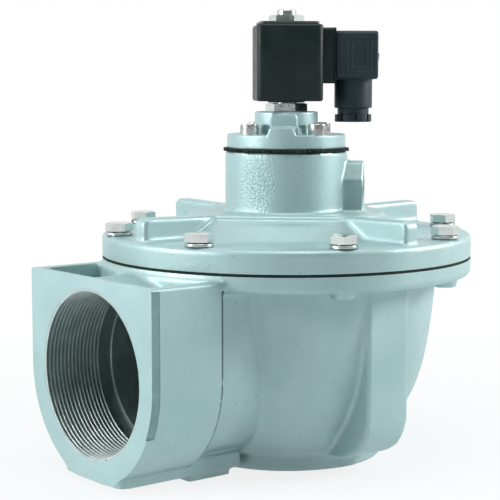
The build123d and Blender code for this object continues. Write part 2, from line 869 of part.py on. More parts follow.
# Pilot cap: screwed-down plate, centre column for the guide tube and the raised passage
solenoid_floor_z = cap_top_z - solenoid_well_depth
spring_well_top_z = cap_low_z + pilot_spring_well_top
orifice_seat_z = solenoid_floor_z + orifice_seat_h
with BuildPart() as pilot_cap:
    with Locations((0, 0, cap_low_z)):
        Cylinder(cap_r, cap_plate_t, align=(Align.CENTER, Align.CENTER, Align.MIN))
        Cylinder(cap_column_r, cap_plate_t + cap_column_h, align=(Align.CENTER, Align.CENTER, Align.MIN))
    fillet(circles_of(pilot_cap, cap_r)[-1], cap_edge_round)
    fillet(circles_of(pilot_cap, cap_column_r)[-1], cap_edge_round)
    # Raised passage from the column to the rim, trimmed to the plate's round edge
    hump_foot_half_w = hump_half_w + hump_foot_flare
    with BuildSketch(bearing_plane(hump_phi, 0, 0)) as hump_section:
        with BuildLine():
            Polyline(
                (-hump_foot_half_w, cap_plate_top_z - overlap),
                (-hump_foot_half_w, cap_plate_top_z),
                (-hump_half_w, cap_plate_top_z + hump_h),
                (hump_half_w, cap_plate_top_z + hump_h),
                (hump_foot_half_w, cap_plate_top_z),
                (hump_foot_half_w, cap_plate_top_z - overlap),
                close=True,
            )
        make_face()
        fillet(hump_section.vertices().group_by(Axis.Y)[-1], hump_round)
    extrude(amount=cap_r + overlap)
    with BuildSketch(Plane.XY.offset(cap_plate_top_z - overlap)):
        Circle(cap_r + overrun)
        Circle(cap_r, mode=Mode.SUBTRACT)
    extrude(amount=hump_h + 2 * overlap, mode=Mode.SUBTRACT)
    # Flat land up the column above the passage
    with BuildSketch(bearing_plane(hump_phi, 0, 0)) as land:
        with Locations((0, cap_plate_top_z)):
            Rectangle(
                2 * column_pad_half_w, cap_column_h - column_pad_drop, align=(Align.CENTER, Align.MIN)
            )
        fillet(land.vertices().group_by(Axis.Y)[-1], column_pad_round)
    extrude(amount=column_pad_out)
    # Notches at the column's foot, on either side of the land
    for notch_phi in (hump_phi - column_notch_spread, hump_phi + column_notch_spread):
        with BuildSketch(bearing_plane(notch_phi, cap_column_r + overlap, cap_plate_top_z)):
            Rectangle(column_notch_w, column_notch_h, align=(Align.CENTER, Align.MIN))
        extrude(amount=-(column_notch_depth + overlap), mode=Mode.SUBTRACT)

    # Chamber over the pilot diaphragm, spring well, solenoid well with its orifice seat
    with BuildSketch(Plane.XY.offset(cap_low_z)):
        Circle(pilot_chamber_r)
    extrude(amount=pilot_chamber_h, mode=Mode.SUBTRACT)
    with BuildSketch(Plane.XY.offset(cap_low_z)):
        Circle(pilot_spring_well_r)
    extrude(amount=pilot_spring_well_top, mode=Mode.SUBTRACT)
    with BuildSketch(Plane.XY.offset(cap_top_z)):
        Circle(solenoid_well_r)
    extrude(amount=-solenoid_well_depth, mode=Mode.SUBTRACT)
    with BuildSketch(Plane.XY.offset(solenoid_floor_z)):
        Circle(orifice_seat_r)
    extrude(amount=orifice_seat_h)
    with BuildSketch(Plane.XY.offset(orifice_seat_z)):
        Circle(orifice_r)
    extrude(amount=-(orifice_seat_z - spring_well_top_z + overlap), mode=Mode.SUBTRACT)
    # Vent: up through the gasket, along the raised passage and slanting up into the solenoid well
    with BuildSketch(Plane.XY.offset(cap_low_z)):
        with PolarLocations(cap_screw_circle_r, 1, start_angle=hump_phi - 90):
            Circle(hump_channel_r)
    channel_z = cap_plate_top_z + hump_h / 2
    extrude(amount=channel_z - cap_low_z, mode=Mode.SUBTRACT)
    with BuildSketch(bearing_plane(hump_phi, cap_screw_circle_r, channel_z)):
        Circle(hump_channel_r)
    extrude(amount=-(cap_screw_circle_r - slant_vent_foot_r), mode=Mode.SUBTRACT)
    slant_head_z = solenoid_floor_z + 2 * slant_vent_r
    slant_head = bearing_plane(hump_phi, solenoid_well_r - slant_vent_r, slant_head_z).origin
    slant_foot = bearing_plane(hump_phi, slant_vent_foot_r, channel_z).origin
    with BuildSketch(Plane(origin=slant_head, z_dir=slant_foot - slant_head)):
        Circle(slant_vent_r)
    extrude(amount=(slant_foot - slant_head).length, mode=Mode.SUBTRACT)
    # Holes for the cap screws
    with BuildSketch(Plane.XY.offset(cap_low_z)):
        with PolarLocations(cap_screw_circle_r, cap_screw_count):
            Circle(cap_screw_hole_r)
    extrude(amount=cap_plate_t, mode=Mode.SUBTRACT)
finish(pilot_cap, "pilot_cap")

pilot_spring = coil_spring(
    pilot_plate_top_z, spring_well_top_z, pilot_spring_r, pilot_spring_wire_r, pilot_spring_turns
)
finish(pilot_spring, "pilot_spring")

# Cap screws: round heads with a hexagon socket, all in one file
with BuildPart() as cap_screws:
    with BuildSketch(Plane.XY.offset(cap_plate_top_z)):
        with PolarLocations(cap_screw_circle_r, cap_screw_count):
            Circle(cap_screw_head_r)
    extrude(amount=cap_screw_head_h)
    chamfer(circles_of(cap_screws, cap_screw_head_r)[-cap_screw_count:], 0.5)
    with BuildSketch(Plane.XY.offset(cap_plate_top_z)):
        with PolarLocations(cap_screw_circle_r, cap_screw_count):
            Circle(cap_screw_r)
    extrude(amount=-cap_screw_length)
    with BuildSketch(Plane.XY.offset(cap_screw_head_top_z)):
        with PolarLocations(cap_screw_circle_r, cap_screw_count):
            RegularPolygon(cap_screw_socket_af / 2, 6, major_radius=False)
    extrude(amount=-cap_screw_head_h / 2, mode=Mode.SUBTRACT)
finish(cap_screws, "cap_screws")

# Guide tube: threaded foot in the cap, hexagon and thin tube
tube_hex_top_z = cap_top_z + tube_hex_h
tube_foot_z = cap_top_z - solenoid_well_depth / 2
groove_z = cap_top_z - o_ring_wire_r
with BuildPart() as core_tube:
    with BuildSketch(Plane.XY.offset(tube_foot_z)):
        Circle(solenoid_well_r)
    extrude(amount=cap_top_z - tube_foot_z)
    with BuildSketch(Plane.XY.offset(cap_top_z)):
        RegularPolygon(tube_hex_af / 2, 6, major_radius=False, rotation=hump_phi)
    extrude(amount=tube_hex_h)
    with BuildSketch(Plane.XY.offset(tube_hex_top_z)):
        Circle(tube_r)
    extrude(amount=tube_top_z - tube_hex_top_z)
    with BuildSketch(Plane.XY.offset(tube_foot_z)):
        Circle(tube_bore_r)
    extrude(amount=tube_top_z - tube_foot_z, mode=Mode.SUBTRACT)
    # Groove for the ring seal, just under the hexagon
    with BuildSketch(Plane.XY.offset(groove_z - o_ring_wire_r)):
        Circle(solenoid_well_r + 1)
        Circle(solenoid_well_r - 2 * o_ring_wire_r, mode=Mode.SUBTRACT)
    extrude(amount=2 * o_ring_wire_r, mode=Mode.SUBTRACT)
finish(core_tube, "core_tube")

with BuildPart() as core_o_ring:
    with BuildSketch(Plane.XZ):
        with Locations((solenoid_well_r - o_ring_wire_r, groove_z)):
            RegularPolygon(o_ring_wire_r, wire_sides)
    revolve(axis=Axis.Z)
finish(core_o_ring, "core_o_ring")

# Fixed core: closes the tube, carries the stud for the coil's nut
core_face_z = tube_top_z - fixed_core_length
with BuildPart() as fixed_core:
    with BuildSketch(Plane.XY.offset(core_face_z)):
        Circle(tube_bore_r)
    extrude(amount=fixed_core_length)
    with BuildSketch(Plane.XY.offset(tube_top_z)):
        Circle(stud_r)
    extrude(amount=stud_end_z - tube_top_z)
    chamfer(circles_of(fixed_core, stud_r)[-1], 0.8)
    with BuildSketch(Plane.XY.offset(core_face_z)):
        Circle(ring_outer_r)
        Circle(ring_inner_r, mode=Mode.SUBTRACT)
    extrude(amount=ring_t, mode=Mode.SUBTRACT)
finish(fixed_core, "fixed_core")

with BuildPart() as shading_ring:
    with BuildSketch(Plane.XY.offset(core_face_z)):
        Circle(ring_outer_r)
        Circle(ring_inner_r, mode=Mode.SUBTRACT)
    extrude(amount=ring_t)
finish(shading_ring, "shading_ring")

# Plunger: slides in the tube, with a rubber seal in its foot and a spring in its head
plunger_r = tube_bore_r - plunger_clearance
seal_low_z = orifice_seat_z + plunger_end_gap
plunger_low_z = seal_low_z + seal_proud
plunger_top_z = core_face_z - plunger_stroke - plunger_end_gap
plunger_well_depth = 10.0
with BuildPart() as plunger:
    with BuildSketch(Plane.XY.offset(plunger_low_z)):
        Circle(plunger_r)
        with PolarLocations(plunger_r, 2):
            Rectangle(2 * plunger_slot_depth, plunger_slot_w, mode=Mode.SUBTRACT)
    extrude(amount=plunger_top_z - plunger_low_z)
    with BuildSketch(Plane.XY.offset(plunger_low_z)):
        Circle(seal_r)
    extrude(amount=seal_t - seal_proud, mode=Mode.SUBTRACT)
    with BuildSketch(Plane.XY.offset(plunger_top_z)):
        Circle(plunger_spring_r + plunger_spring_wire_r + 0.3)
    extrude(amount=-plunger_well_depth, mode=Mode.SUBTRACT)
finish(plunger, "plunger")

with BuildPart() as plunger_seal:
    with BuildSketch(Plane.XY.offset(seal_low_z)):
        Circle(seal_r)
    extrude(amount=seal_t)
finish(plunger_seal, "plunger_seal")

plunger_spring = coil_spring(
    plunger_top_z - plunger_well_depth,
    core_face_z,
    plunger_spring_r,
    plunger_spring_wire_r,
    plunger_spring_turns,
)
finish(plunger_spring, "plunger_spring")

# Coil: moulded block around the tube, with the pedestal that carries the terminals.
# Local x points to the connector.
connector_angle = radians(connector_phi)
connector_dir = (sin(connector_angle), -cos(connector_angle), 0)


def coil_plane(z):
    """Level plane at height z with its x axis towards the connector."""
    return Plane(origin=(0, 0, z), x_dir=connector_dir, z_dir=(0, 0, 1))


def connector_plane(out):
    """Upright plane that faces the connector's way, out millimetres from the axis."""
    return bearing_plane(connector_phi, out, 0)


coil_collar_low_z = tube_hex_top_z + coil_axial_gap
with BuildPart() as coil:
    with BuildSketch(coil_plane(coil_low_z)):
        with Locations(((coil_front - coil_back) / 2, 0)):
            RectangleRounded(coil_front + coil_back, 2 * coil_half_w, coil_round)
    extrude(amount=coil_top_z - coil_low_z)
    fillet(coil.faces().sort_by(Axis.Z)[0].edges(), coil_edge_round)
    fillet(coil.faces().sort_by(Axis.Z)[-1].edges(), coil_edge_round)
    with BuildSketch(coil_plane(coil_collar_low_z)):
        Circle(coil_collar_r)
    extrude(amount=coil_low_z - coil_collar_low_z + overlap)
    pedestal_mid_z = (pedestal_low_z + pedestal_high_z) / 2
    with BuildSketch(connector_plane(coil_front - pedestal_root)):
        with Locations((0, pedestal_mid_z)):
            RectangleRounded(2 * pedestal_half_w, pedestal_high_z - pedestal_low_z, pedestal_round)
    extrude(amount=pedestal_out - coil_front + pedestal_root)
    with BuildSketch(coil_plane(coil_collar_low_z)):
        Circle(tube_r + coil_running_gap)
    extrude(amount=coil_top_z, mode=Mode.SUBTRACT)
finish(coil, "coil")

# Yoke plate on top of the coil, and the nut that holds both
yoke_low_z = coil_top_z
yoke_top_z = yoke_low_z + yoke_plate_t
with BuildPart() as coil_top_plate:
    with BuildSketch(coil_plane(yoke_low_z)):
        with Locations(((coil_front - coil_back) / 2, 0)):
            RectangleRounded(2 * yoke_plate_half_w, 2 * yoke_plate_half_w, yoke_plate_round)
        Circle(tube_r + coil_running_gap, mode=Mode.SUBTRACT)
    extrude(amount=yoke_plate_t)
finish(coil_top_plate, "coil_top_plate")

coil_nut_low_z = yoke_top_z + coil_axial_gap
with BuildPart() as coil_nut:
    with BuildSketch(Plane.XY.offset(coil_nut_low_z)):
        RegularPolygon(coil_nut_af / 2, 6, major_radius=False, rotation=hump_phi)
        Circle(stud_r, mode=Mode.SUBTRACT)
    extrude(amount=coil_nut_h)
finish(coil_nut, "coil_nut")

# Connector: gasket, blades, contact carrier, housing and screw
gasket_end = pedestal_out + connector_gasket_t
housing_mid_z = (housing_low_z + housing_high_z) / 2
with BuildPart() as connector_gasket:
    with BuildSketch(connector_plane(pedestal_out)):
        with Locations((0, pedestal_mid_z)):
            RectangleRounded(2 * pedestal_half_w, pedestal_high_z - pedestal_low_z, pedestal_round)
        with Locations((0, housing_mid_z)):
            Rectangle(2 * insert_half_w, 2 * insert_half_h, mode=Mode.SUBTRACT)
    extrude(amount=connector_gasket_t)
finish(connector_gasket, "connector_gasket")

blade_spots = [(-blade_spread, 0), (blade_spread, 0), (0, -blade_spread)]
with BuildPart() as terminal_blades:
    with BuildSketch(connector_plane(pedestal_out)):
        with Locations((0, housing_mid_z)):
            with Locations(*blade_spots[:2]):
                Rectangle(blade_t, blade_w)
            with Locations(blade_spots[2]):
                Rectangle(blade_w, blade_t)
    extrude(amount=blade_length)
finish(terminal_blades, "terminal_blades")

with BuildPart() as connector_insert:
    with BuildSketch(connector_plane(gasket_end)):
        with Locations((0, housing_mid_z)):
            Rectangle(2 * insert_half_w, 2 * insert_half_h)
            Circle(connector_screw_r + insert_slot_gap, mode=Mode.SUBTRACT)
            with Locations(*blade_spots[:2]):
                Rectangle(blade_t + insert_slot_gap, blade_w + insert_slot_gap, mode=Mode.SUBTRACT)
            with Locations(blade_spots[2]):
                Rectangle(blade_w + insert_slot_gap, blade_t + insert_slot_gap, mode=Mode.SUBTRACT)
    extrude(amount=insert_length)
finish(connector_insert, "connector_insert")

with BuildPart() as connector_housing:
    with BuildSketch(connector_plane(gasket_end)):
        with Locations((0, housing_mid_z)):
            RectangleRounded(2 * housing_half_w, housing_high_z - housing_low_z, housing_round)
    extrude(amount=housing_end - gasket_end)
    far_edges = connector_housing.faces().sort_by(
        lambda f: f.center().X * connector_dir[0] + f.center().Y * connector_dir[1]
    )[-1].edges()
    fillet(far_edges, housing_round / 2)
    with BuildSketch(coil_plane(gland_low_z)):
        with Locations((gland_centre_u, 0)):
            Circle(gland_r)
    extrude(amount=housing_mid_z - gland_low_z)
    with BuildSketch(coil_plane(neck_low_z)):
        with Locations((gland_centre_u, 0)):
            Circle(neck_r)
    extrude(amount=gland_low_z - neck_low_z)
    # Hollow for the contact carrier and the cores, and the gland's bore
    with BuildSketch(connector_plane(gasket_end)):
        with Locations((0, housing_mid_z)):
            Rectangle(
                2 * (housing_half_w - housing_wall), housing_high_z - housing_low_z - 2 * housing_wall
            )
    extrude(amount=housing_end - housing_wall - gasket_end, mode=Mode.SUBTRACT)
    with BuildSketch(coil_plane(neck_low_z)):
        with Locations((gland_centre_u, 0)):
            Circle(grommet_r)
    extrude(amount=housing_mid_z - neck_low_z, mode=Mode.SUBTRACT)
    # Sunk panel on both broad sides
    panel_mid_z = (panel_low_z + panel_high_z) / 2
    for side in (-1, 1):
        outward = Vector(cos(connector_angle), sin(connector_angle), 0) * side
        panel_face = outward * (housing_half_w - panel_depth)
        with BuildSketch(Plane(origin=panel_face, x_dir=connector_dir, z_dir=outward)):
            with Locations((panel_centre_u, -side * panel_mid_z)):
                RectangleRounded(2 * panel_half_u, panel_high_z - panel_low_z, panel_round)
        extrude(amount=2 * panel_depth, mode=Mode.SUBTRACT)
    with BuildSketch(connector_plane(housing_end)):
        with Locations((0, housing_mid_z)):
            Circle(connector_screw_r + insert_slot_gap)
    extrude(amount=-2 * housing_wall, mode=Mode.SUBTRACT)
finish(connector_housing, "connector_housing")

with BuildPart() as connector_screw:
    with BuildSketch(connector_plane(pedestal_out)):
        with Locations((0, housing_mid_z)):
            Circle(connector_screw_r)
    extrude(amount=housing_end - pedestal_out)
    with BuildSketch(connector_plane(housing_end)):
        with Locations((0, housing_mid_z)):
            Circle(connector_screw_head_r)
    extrude(amount=connector_screw_head_h)
    with BuildSketch(connector_plane(housing_end + connector_screw_head_h)):
        with Locations((0, housing_mid_z)):
            Rectangle(connector_screw_slot_w, 2 * connector_screw_head_r)
    extrude(amount=-connector_screw_head_h / 2, mode=Mode.SUBTRACT)
finish(connector_screw, "connector_screw")

# Cable gland: washer, rubber grommet and castellated nut
gland_nut_low_z = cap_screw_head_top_z + 0.6
washer_low_z = gland_nut_low_z + gland_nut_floor_t + 0.1
grommet_low_z = washer_low_z + gland_washer_t
with BuildPart() as gland_washer:
    with BuildSketch(coil_plane(washer_low_z)):
        with Locations((gland_centre_u, 0)):
            Circle(grommet_r)
            Circle(gland_hole_r, mode=Mode.SUBTRACT)
    extrude(amount=gland_washer_t)
finish(gland_washer, "gland_washer")

with BuildPart() as gland_grommet:
    with BuildSketch(coil_plane(grommet_low_z)):
        with Locations((gland_centre_u, 0)):
            Circle(grommet_r)
            Circle(grommet_hole_r, mode=Mode.SUBTRACT)
    extrude(amount=grommet_length)
finish(gland_grommet, "gland_grommet")

with BuildPart() as gland_nut:
    with BuildSketch(coil_plane(gland_nut_low_z)):
        with Locations((gland_centre_u, 0)):
            Circle(gland_nut_r)
            Circle(gland_hole_r, mode=Mode.SUBTRACT)
            with PolarLocations(gland_nut_r, gland_nut_slots):
                Rectangle(1.2, 2.0, mode=Mode.SUBTRACT)
    extrude(amount=gland_nut_top_z - gland_nut_low_z)
    with BuildSketch(coil_plane(gland_nut_low_z + gland_nut_floor_t)):
        with Locations((gland_centre_u, 0)):
            Circle(neck_r)
    extrude(amount=gland_nut_top_z - gland_nut_low_z, mode=Mode.SUBTRACT)
finish(gland_nut, "gland_nut")
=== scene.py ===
import math

import bmesh
import bpy
from mathutils import Matrix, Vector, noise
from mathutils.geometry import interpolate_bezier


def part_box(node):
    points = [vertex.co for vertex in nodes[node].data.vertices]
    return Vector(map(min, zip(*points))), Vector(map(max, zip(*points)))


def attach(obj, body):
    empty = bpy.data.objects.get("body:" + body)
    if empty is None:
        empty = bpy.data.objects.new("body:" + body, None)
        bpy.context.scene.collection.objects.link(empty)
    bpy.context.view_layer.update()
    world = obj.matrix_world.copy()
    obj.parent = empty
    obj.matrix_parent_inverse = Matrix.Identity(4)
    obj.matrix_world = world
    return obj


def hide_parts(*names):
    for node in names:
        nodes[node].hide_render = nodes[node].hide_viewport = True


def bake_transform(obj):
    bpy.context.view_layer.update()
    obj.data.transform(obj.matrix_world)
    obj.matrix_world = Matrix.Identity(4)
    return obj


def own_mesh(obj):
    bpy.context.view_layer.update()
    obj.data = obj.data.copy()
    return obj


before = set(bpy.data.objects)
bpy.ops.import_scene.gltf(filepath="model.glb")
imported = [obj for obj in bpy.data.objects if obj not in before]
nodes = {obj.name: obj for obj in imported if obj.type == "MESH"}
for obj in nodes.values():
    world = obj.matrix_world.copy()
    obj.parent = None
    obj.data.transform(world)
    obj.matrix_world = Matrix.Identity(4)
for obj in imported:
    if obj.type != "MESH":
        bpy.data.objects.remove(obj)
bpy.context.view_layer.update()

# The studio. The valve stands on pale paper in a white surround, and is seen from the right of its
# inlet, a little above the flange, as a product picture shows it. What the metal mirrors and the soft
# light from around grow darker toward the camera. Sizes are in millimetres.
MM = 0.001
camera_bearing = math.radians(49.89)
camera_distance = 824.4
camera_height = 204.7
camera_turn = math.radians(1.39)
camera_dip = math.radians(6.39)

scene = bpy.context.scene
scene.view_settings.view_transform = "Standard"
camera = bpy.data.objects.new("camera", bpy.data.cameras.new("camera"))
camera.data.lens = 107.2
camera.data.sensor_width = 36
camera.data.clip_end = 20
camera.location = (
    camera_distance * MM * math.sin(camera_bearing),
    -camera_distance * MM * math.cos(camera_bearing),
    camera_height * MM,
)
camera.rotation_euler = (math.pi / 2 - camera_dip, 0, camera_bearing + camera_turn)
scene.collection.objects.link(camera)
scene.camera = camera
valve_middle = Vector((0, 0, 0.12))


def softbox(name, bearing, distance, height, size, power, colour=(1, 1, 1)):
    """A square lamp that looks at the middle of the valve. Distance, height and size are in metres."""
    lamp = bpy.data.objects.new(name, bpy.data.lights.new(name, "AREA"))
    lamp.data.size = size
    lamp.data.energy = power
    lamp.data.color = colour
    place = Vector((distance * math.sin(bearing), -distance * math.cos(bearing), height))
    lamp.location = place
    lamp.rotation_euler = (valve_middle - place).to_track_quat("-Z", "Y").to_euler()
    scene.collection.objects.link(lamp)


def seen_by(tree, *kinds):
    """1 for rays of these kinds, and 0 for the rays that light the valve."""
    ray = tree.nodes.new("ShaderNodeLightPath")
    seen = ray.outputs[kinds[0]]
    for kind in kinds[1:]:
        either = tree.nodes.new("ShaderNodeMath")
        either.operation = "MAXIMUM"
        tree.links.new(seen, either.inputs[0])
        tree.links.new(ray.outputs[kind], either.inputs[1])
        seen = either.outputs[0]
    return seen


def toward(tree, bearing, start, end, low, high):
    """Falls from a high to a low level as a direction of the surround comes near to a bearing."""
    direction = tree.nodes.new("ShaderNodeTexCoord")
    facing = tree.nodes.new("ShaderNodeVectorMath")
    facing.operation = "DOT_PRODUCT"
    facing.inputs[1].default_value = (math.sin(bearing), -math.cos(bearing), 0)
    dimmed = tree.nodes.new("ShaderNodeMapRange")
    dimmed.inputs["From Min"].default_value = start
    dimmed.inputs["From Max"].default_value = end
    dimmed.inputs["To Min"].default_value = high
    dimmed.inputs["To Max"].default_value = low
    tree.links.new(direction.outputs["Generated"], facing.inputs[0])
    tree.links.new(facing.outputs["Value"], dimmed.inputs["Value"])
    return dimmed.outputs["Result"]


softbox(
    "key_softbox", bearing=math.radians(-17), distance=1.3, height=0.55, size=0.7, power=15.2,
    colour=(0.98, 0.99, 1),
)
softbox("side_softbox", bearing=math.radians(140), distance=0.75, height=0.43, size=0.25, power=5.2)
softbox("top_softbox", bearing=math.radians(60), distance=0.25, height=1.5, size=0.8, power=8)

dark_bearing = camera_bearing + math.radians(14)
world = bpy.data.worlds.new("studio")
world.use_nodes = True
scene.world = world
tree = world.node_tree
tree.nodes.clear()
surround = tree.nodes.new("ShaderNodeBackground")
surround.inputs["Color"].default_value = (0.60, 0.90, 0.93, 1)
fill = toward(tree, camera_bearing, start=0.3, end=0.95, low=0.06, high=0.4)
tree.links.new(fill, surround.inputs["Strength"])
backdrop = tree.nodes.new("ShaderNodeBackground")
backdrop.inputs["Color"].default_value = (1, 1, 1, 1)
bright = tree.nodes.new("ShaderNodeMath")
bright.operation = "MAXIMUM"
mirrored = toward(tree, dark_bearing, start=0.0, end=0.85, low=0.12, high=1.0)
tree.links.new(mirrored, bright.inputs[0])
tree.links.new(seen_by(tree, "Is Camera Ray"), bright.inputs[1])
tree.links.new(bright.outputs[0], backdrop.inputs["Strength"])
pick = tree.nodes.new("ShaderNodeMixShader")
out = tree.nodes.new("ShaderNodeOutputWorld")
tree.links.new(seen_by(tree, "Is Camera Ray", "Is Glossy Ray", "Is Transmission Ray"), pick.inputs[0])
tree.links.new(surround.outputs[0], pick.inputs[1])
tree.links.new(backdrop.outputs[0], pick.inputs[2])
tree.links.new(pick.outputs[0], out.inputs[0])

floor_bm = bmesh.new()
bmesh.ops.create_circle(floor_bm, cap_ends=True, radius=6, segments=64)
floor_mesh = bpy.data.meshes.new("floor")
floor_bm.to_mesh(floor_mesh)
floor_bm.free()
floor = bpy.data.objects.new("floor", floor_mesh)
scene.collection.objects.link(floor)
paper = bpy.data.materials.new("floor_paper")
paper.use_nodes = True
tree = paper.node_tree
tree.nodes.clear()
matt = tree.nodes.new("ShaderNodeBsdfDiffuse")
matt.inputs["Color"].default_value = (0.62, 0.72, 0.74, 1)
glow = tree.nodes.new("ShaderNodeEmission")
spot = tree.nodes.new("ShaderNodeTexCoord")
spread = tree.nodes.new("ShaderNodeMapping")
spread.vector_type = "TEXTURE"
spread.inputs["Scale"].default_value = (0.45, 0.45, 0.45)
pool = tree.nodes.new("ShaderNodeTexGradient")
pool.gradient_type = "SPHERICAL"
lit = tree.nodes.new("ShaderNodeMapRange")
lit.inputs["To Min"].default_value = 1.0
lit.inputs["To Max"].default_value = 0.8
share = tree.nodes.new("ShaderNodeMath")
share.operation = "MULTIPLY"
pick = tree.nodes.new("ShaderNodeMixShader")
out = tree.nodes.new("ShaderNodeOutputMaterial")
tree.links.new(spot.outputs["Object"], spread.inputs["Vector"])
tree.links.new(spread.outputs[0], pool.inputs["Vector"])
tree.links.new(pool.outputs["Fac"], lit.inputs["Value"])
tree.links.new(seen_by(tree, "Is Camera Ray", "Is Glossy Ray", "Is Transmission Ray"), share.inputs[0])
tree.links.new(lit.outputs["Result"], share.inputs[1])
tree.links.new(share.outputs[0], pick.inputs[0])
tree.links.new(matt.outputs[0], pick.inputs[1])
tree.links.new(glow.outputs[0], pick.inputs[2])
tree.links.new(pick.outputs[0], out.inputs[0])
floor.data.materials.append(paper)


# The valve body: one die casting in aluminium with a satin silver-blue coat. Bowl, inlet block, duct,
# foot, buttresses and flange flow into each other, and ports, seat and bolt holes are bored through the
# coat. A near-black finish paints the shade in the crease at the block's step, and a darker, duller copy
# of the coat paints shade on a strip beside its face.
flange_r = 101.8
seam_z = 110.0
flange_low = 101.2
ring_r = 53.3
ring_h = 8.0
ring_edge = 0.8
flange_edge = 2.7
inlet_height = 57.7
inlet_face = 129.8
block_r = 56.0
block_depth = 43.1
block_top = 107.5
block_edge = 1.2
duct_r = 51.0
duct_edge = 1.0
port_r = 43.94
port_depth = 36.0
port_chamfer = 0.3
relief_end = 89.8
duct_bore_r = 41.0
duct_bore_end = 51.5
crown_r = port_r + 5.1
pocket_half = 49.5
pocket_front = 125.6
pocket_back_r = 103.5
pocket_floor = 78.0
buttress_in = 40.0
buttress_toe = 60.0
buttress_round = 23.0
buttress_half = 14.0
buttress_edge = 5.0
buttress_low = 8.4
buttress_top = 104.0
foot_half = 26.5
foot_back = 53.5
foot_front = 129.6
foot_corner = 4.0
foot_low = 3.2
foot_top = 12.0
heel_half = 25.0
heel_back = 59.0
heel_front = 86.0
heel_corner = 1.0
throat_r = 40.0
throat_wall_r = 46.5
seat_z = 106.0
seat_round = 1.5
chamber_floor = 16.0
clamp_r = 77.5
spare = 2.0
nub_r = 6.4
nub_low = 97.9
nub_top = 103.0
bolt_hole_r = 4.03
bolt_circle = 94.2
bolt_bearings = [22.5 + 45 * i for i in range(8)]
bowl_knots = [(52.3, 8.0, 0.72), (70.3, 34.4, 0.48), (78.0, 58.9, 0.18), (83.0, 101.2, 0.06)]
bowl_wall = 5.5
upright = Matrix.Rotation(math.pi / 2, 4, "X")
inlet_axis = Matrix.Translation((0, 0, inlet_height)) @ upright


def turn(degrees):
    """Turns +X to a bearing, measured from the inlet's side."""
    return Matrix.Rotation(math.radians(degrees - 90), 4, "Z")


def rounded(corners, steps=8):
    """An outline of (x, y) or (x, y, radius) corners, with an arc at each that has a radius."""
    outline = []
    for before, here, after in zip(corners[-1:] + corners[:-1], corners, corners[1:] + corners[:1]):
        corner = Vector(here[:2])
        if len(here) == 2:
            outline.append(tuple(corner))
            continue
        back = (Vector(before[:2]) - corner).normalized()
        ahead = (Vector(after[:2]) - corner).normalized()
        half = back.angle(ahead) / 2
        centre = corner + (back + ahead).normalized() * here[2] / math.sin(half)
        start = corner + back * here[2] / math.tan(half) - centre
        end = corner + ahead * here[2] / math.tan(half) - centre
        sweep = start.angle_signed(end)
        outline += [tuple(centre + Matrix.Rotation(-sweep * i / steps, 2) @ start) for i in range(steps + 1)]
    return outline


def turned(outline, steps=192):
    """A lathe shape: a closed outline of (radius, height) spun once round Z."""
    bm = bmesh.new()
    corners = [bm.verts.new((x, 0, z)) for x, z in outline]
    pairs = zip(corners, corners[1:] + corners[:1])
    edges = [bm.edges.new(pair) for pair in pairs if pair[0].co.x > 0.001 or pair[1].co.x > 0.001]
    bmesh.ops.spin(
        bm, geom=corners + edges, cent=(0, 0, 0), axis=(0, 0, 1), angle=2 * math.pi,
        steps=steps, use_merge=True,
    )
    bmesh.ops.remove_doubles(bm, verts=bm.verts, dist=0.001)
    bmesh.ops.recalc_face_normals(bm, faces=bm.faces)
    return bm


def rod(r, low, high, steps=192):
    """A plain round bar on Z, from one height to another."""
    return turned([(0, low), (r, low), (r, high), (0, high)], steps)


def pressed(outline, low, high):
    """A slab: a closed (x, y) outline that stands from one height to another."""
    bm = bmesh.new()
    face = bm.faces.new([bm.verts.new((x, y, low)) for x, y in outline])
    made = bmesh.ops.extrude_face_region(bm, geom=[face])
    raised = [v for v in made["geom"] if isinstance(v, bmesh.types.BMVert)]
    bmesh.ops.translate(bm, vec=(0, 0, high - low), verts=raised)
    bmesh.ops.remove_doubles(bm, verts=bm.verts, dist=0.001)
    bmesh.ops.recalc_face_normals(bm, faces=bm.faces)
    return bm


def slab(x0, x1, y0, y1, low, high):
    """A plain block between two corners."""
    return pressed([(x0, y0), (x1, y0), (x1, y1), (x0, y1)], low, high)


def placed(bm, matrix):
    bmesh.ops.transform(bm, matrix=matrix, verts=bm.verts)
    return bm


def around(out, angle):
    """Moves out along +X, then round the valve's axis by an angle in degrees."""
    return Matrix.Rotation(math.radians(angle), 4, "Z") @ Matrix.Translation((out, 0, 0))


def on_a_side(edge):
    """True for an edge that lies in one of a bar's two upright sides."""
    return abs(edge.verts[0].co.y - edge.verts[1].co.y) < 0.01


def eased(bm, radius, steps, chosen):
    """Rounds the edges that the chosen test picks."""
    bmesh.ops.bevel(
        bm, geom=[e for e in bm.edges if chosen(e)], offset=radius, offset_type="OFFSET", segments=steps,
        profile=0.5, affect="EDGES", material=-1, clamp_overlap=True,
    )
    return bm


def together(shapes):
    """Several shapes in one bmesh."""
    whole = bmesh.new()
    for bm in shapes:
        mesh = bpy.data.meshes.new("shape")
        bm.to_mesh(mesh)
        bm.free()
        whole.from_mesh(mesh)
        bpy.data.meshes.remove(mesh)
    return whole


def piece(name, bm, finish=None):
    """An object in metres from a bmesh in millimetres."""
    bmesh.ops.scale(bm, vec=(MM, MM, MM), verts=bm.verts)
    mesh = bpy.data.meshes.new(name)
    bm.to_mesh(mesh)
    bm.free()
    made = bpy.data.objects.new(name, mesh)
    scene.collection.objects.link(made)
    if finish:
        made.data.materials.append(finish)
    return made


def loose(made):
    """The shape of an object as a bmesh in millimetres. The object goes."""
    bm = bmesh.new()
    bm.from_mesh(made.data)
    bmesh.ops.scale(bm, vec=(1 / MM, 1 / MM, 1 / MM), verts=bm.verts)
    bpy.data.objects.remove(made)
    return bm


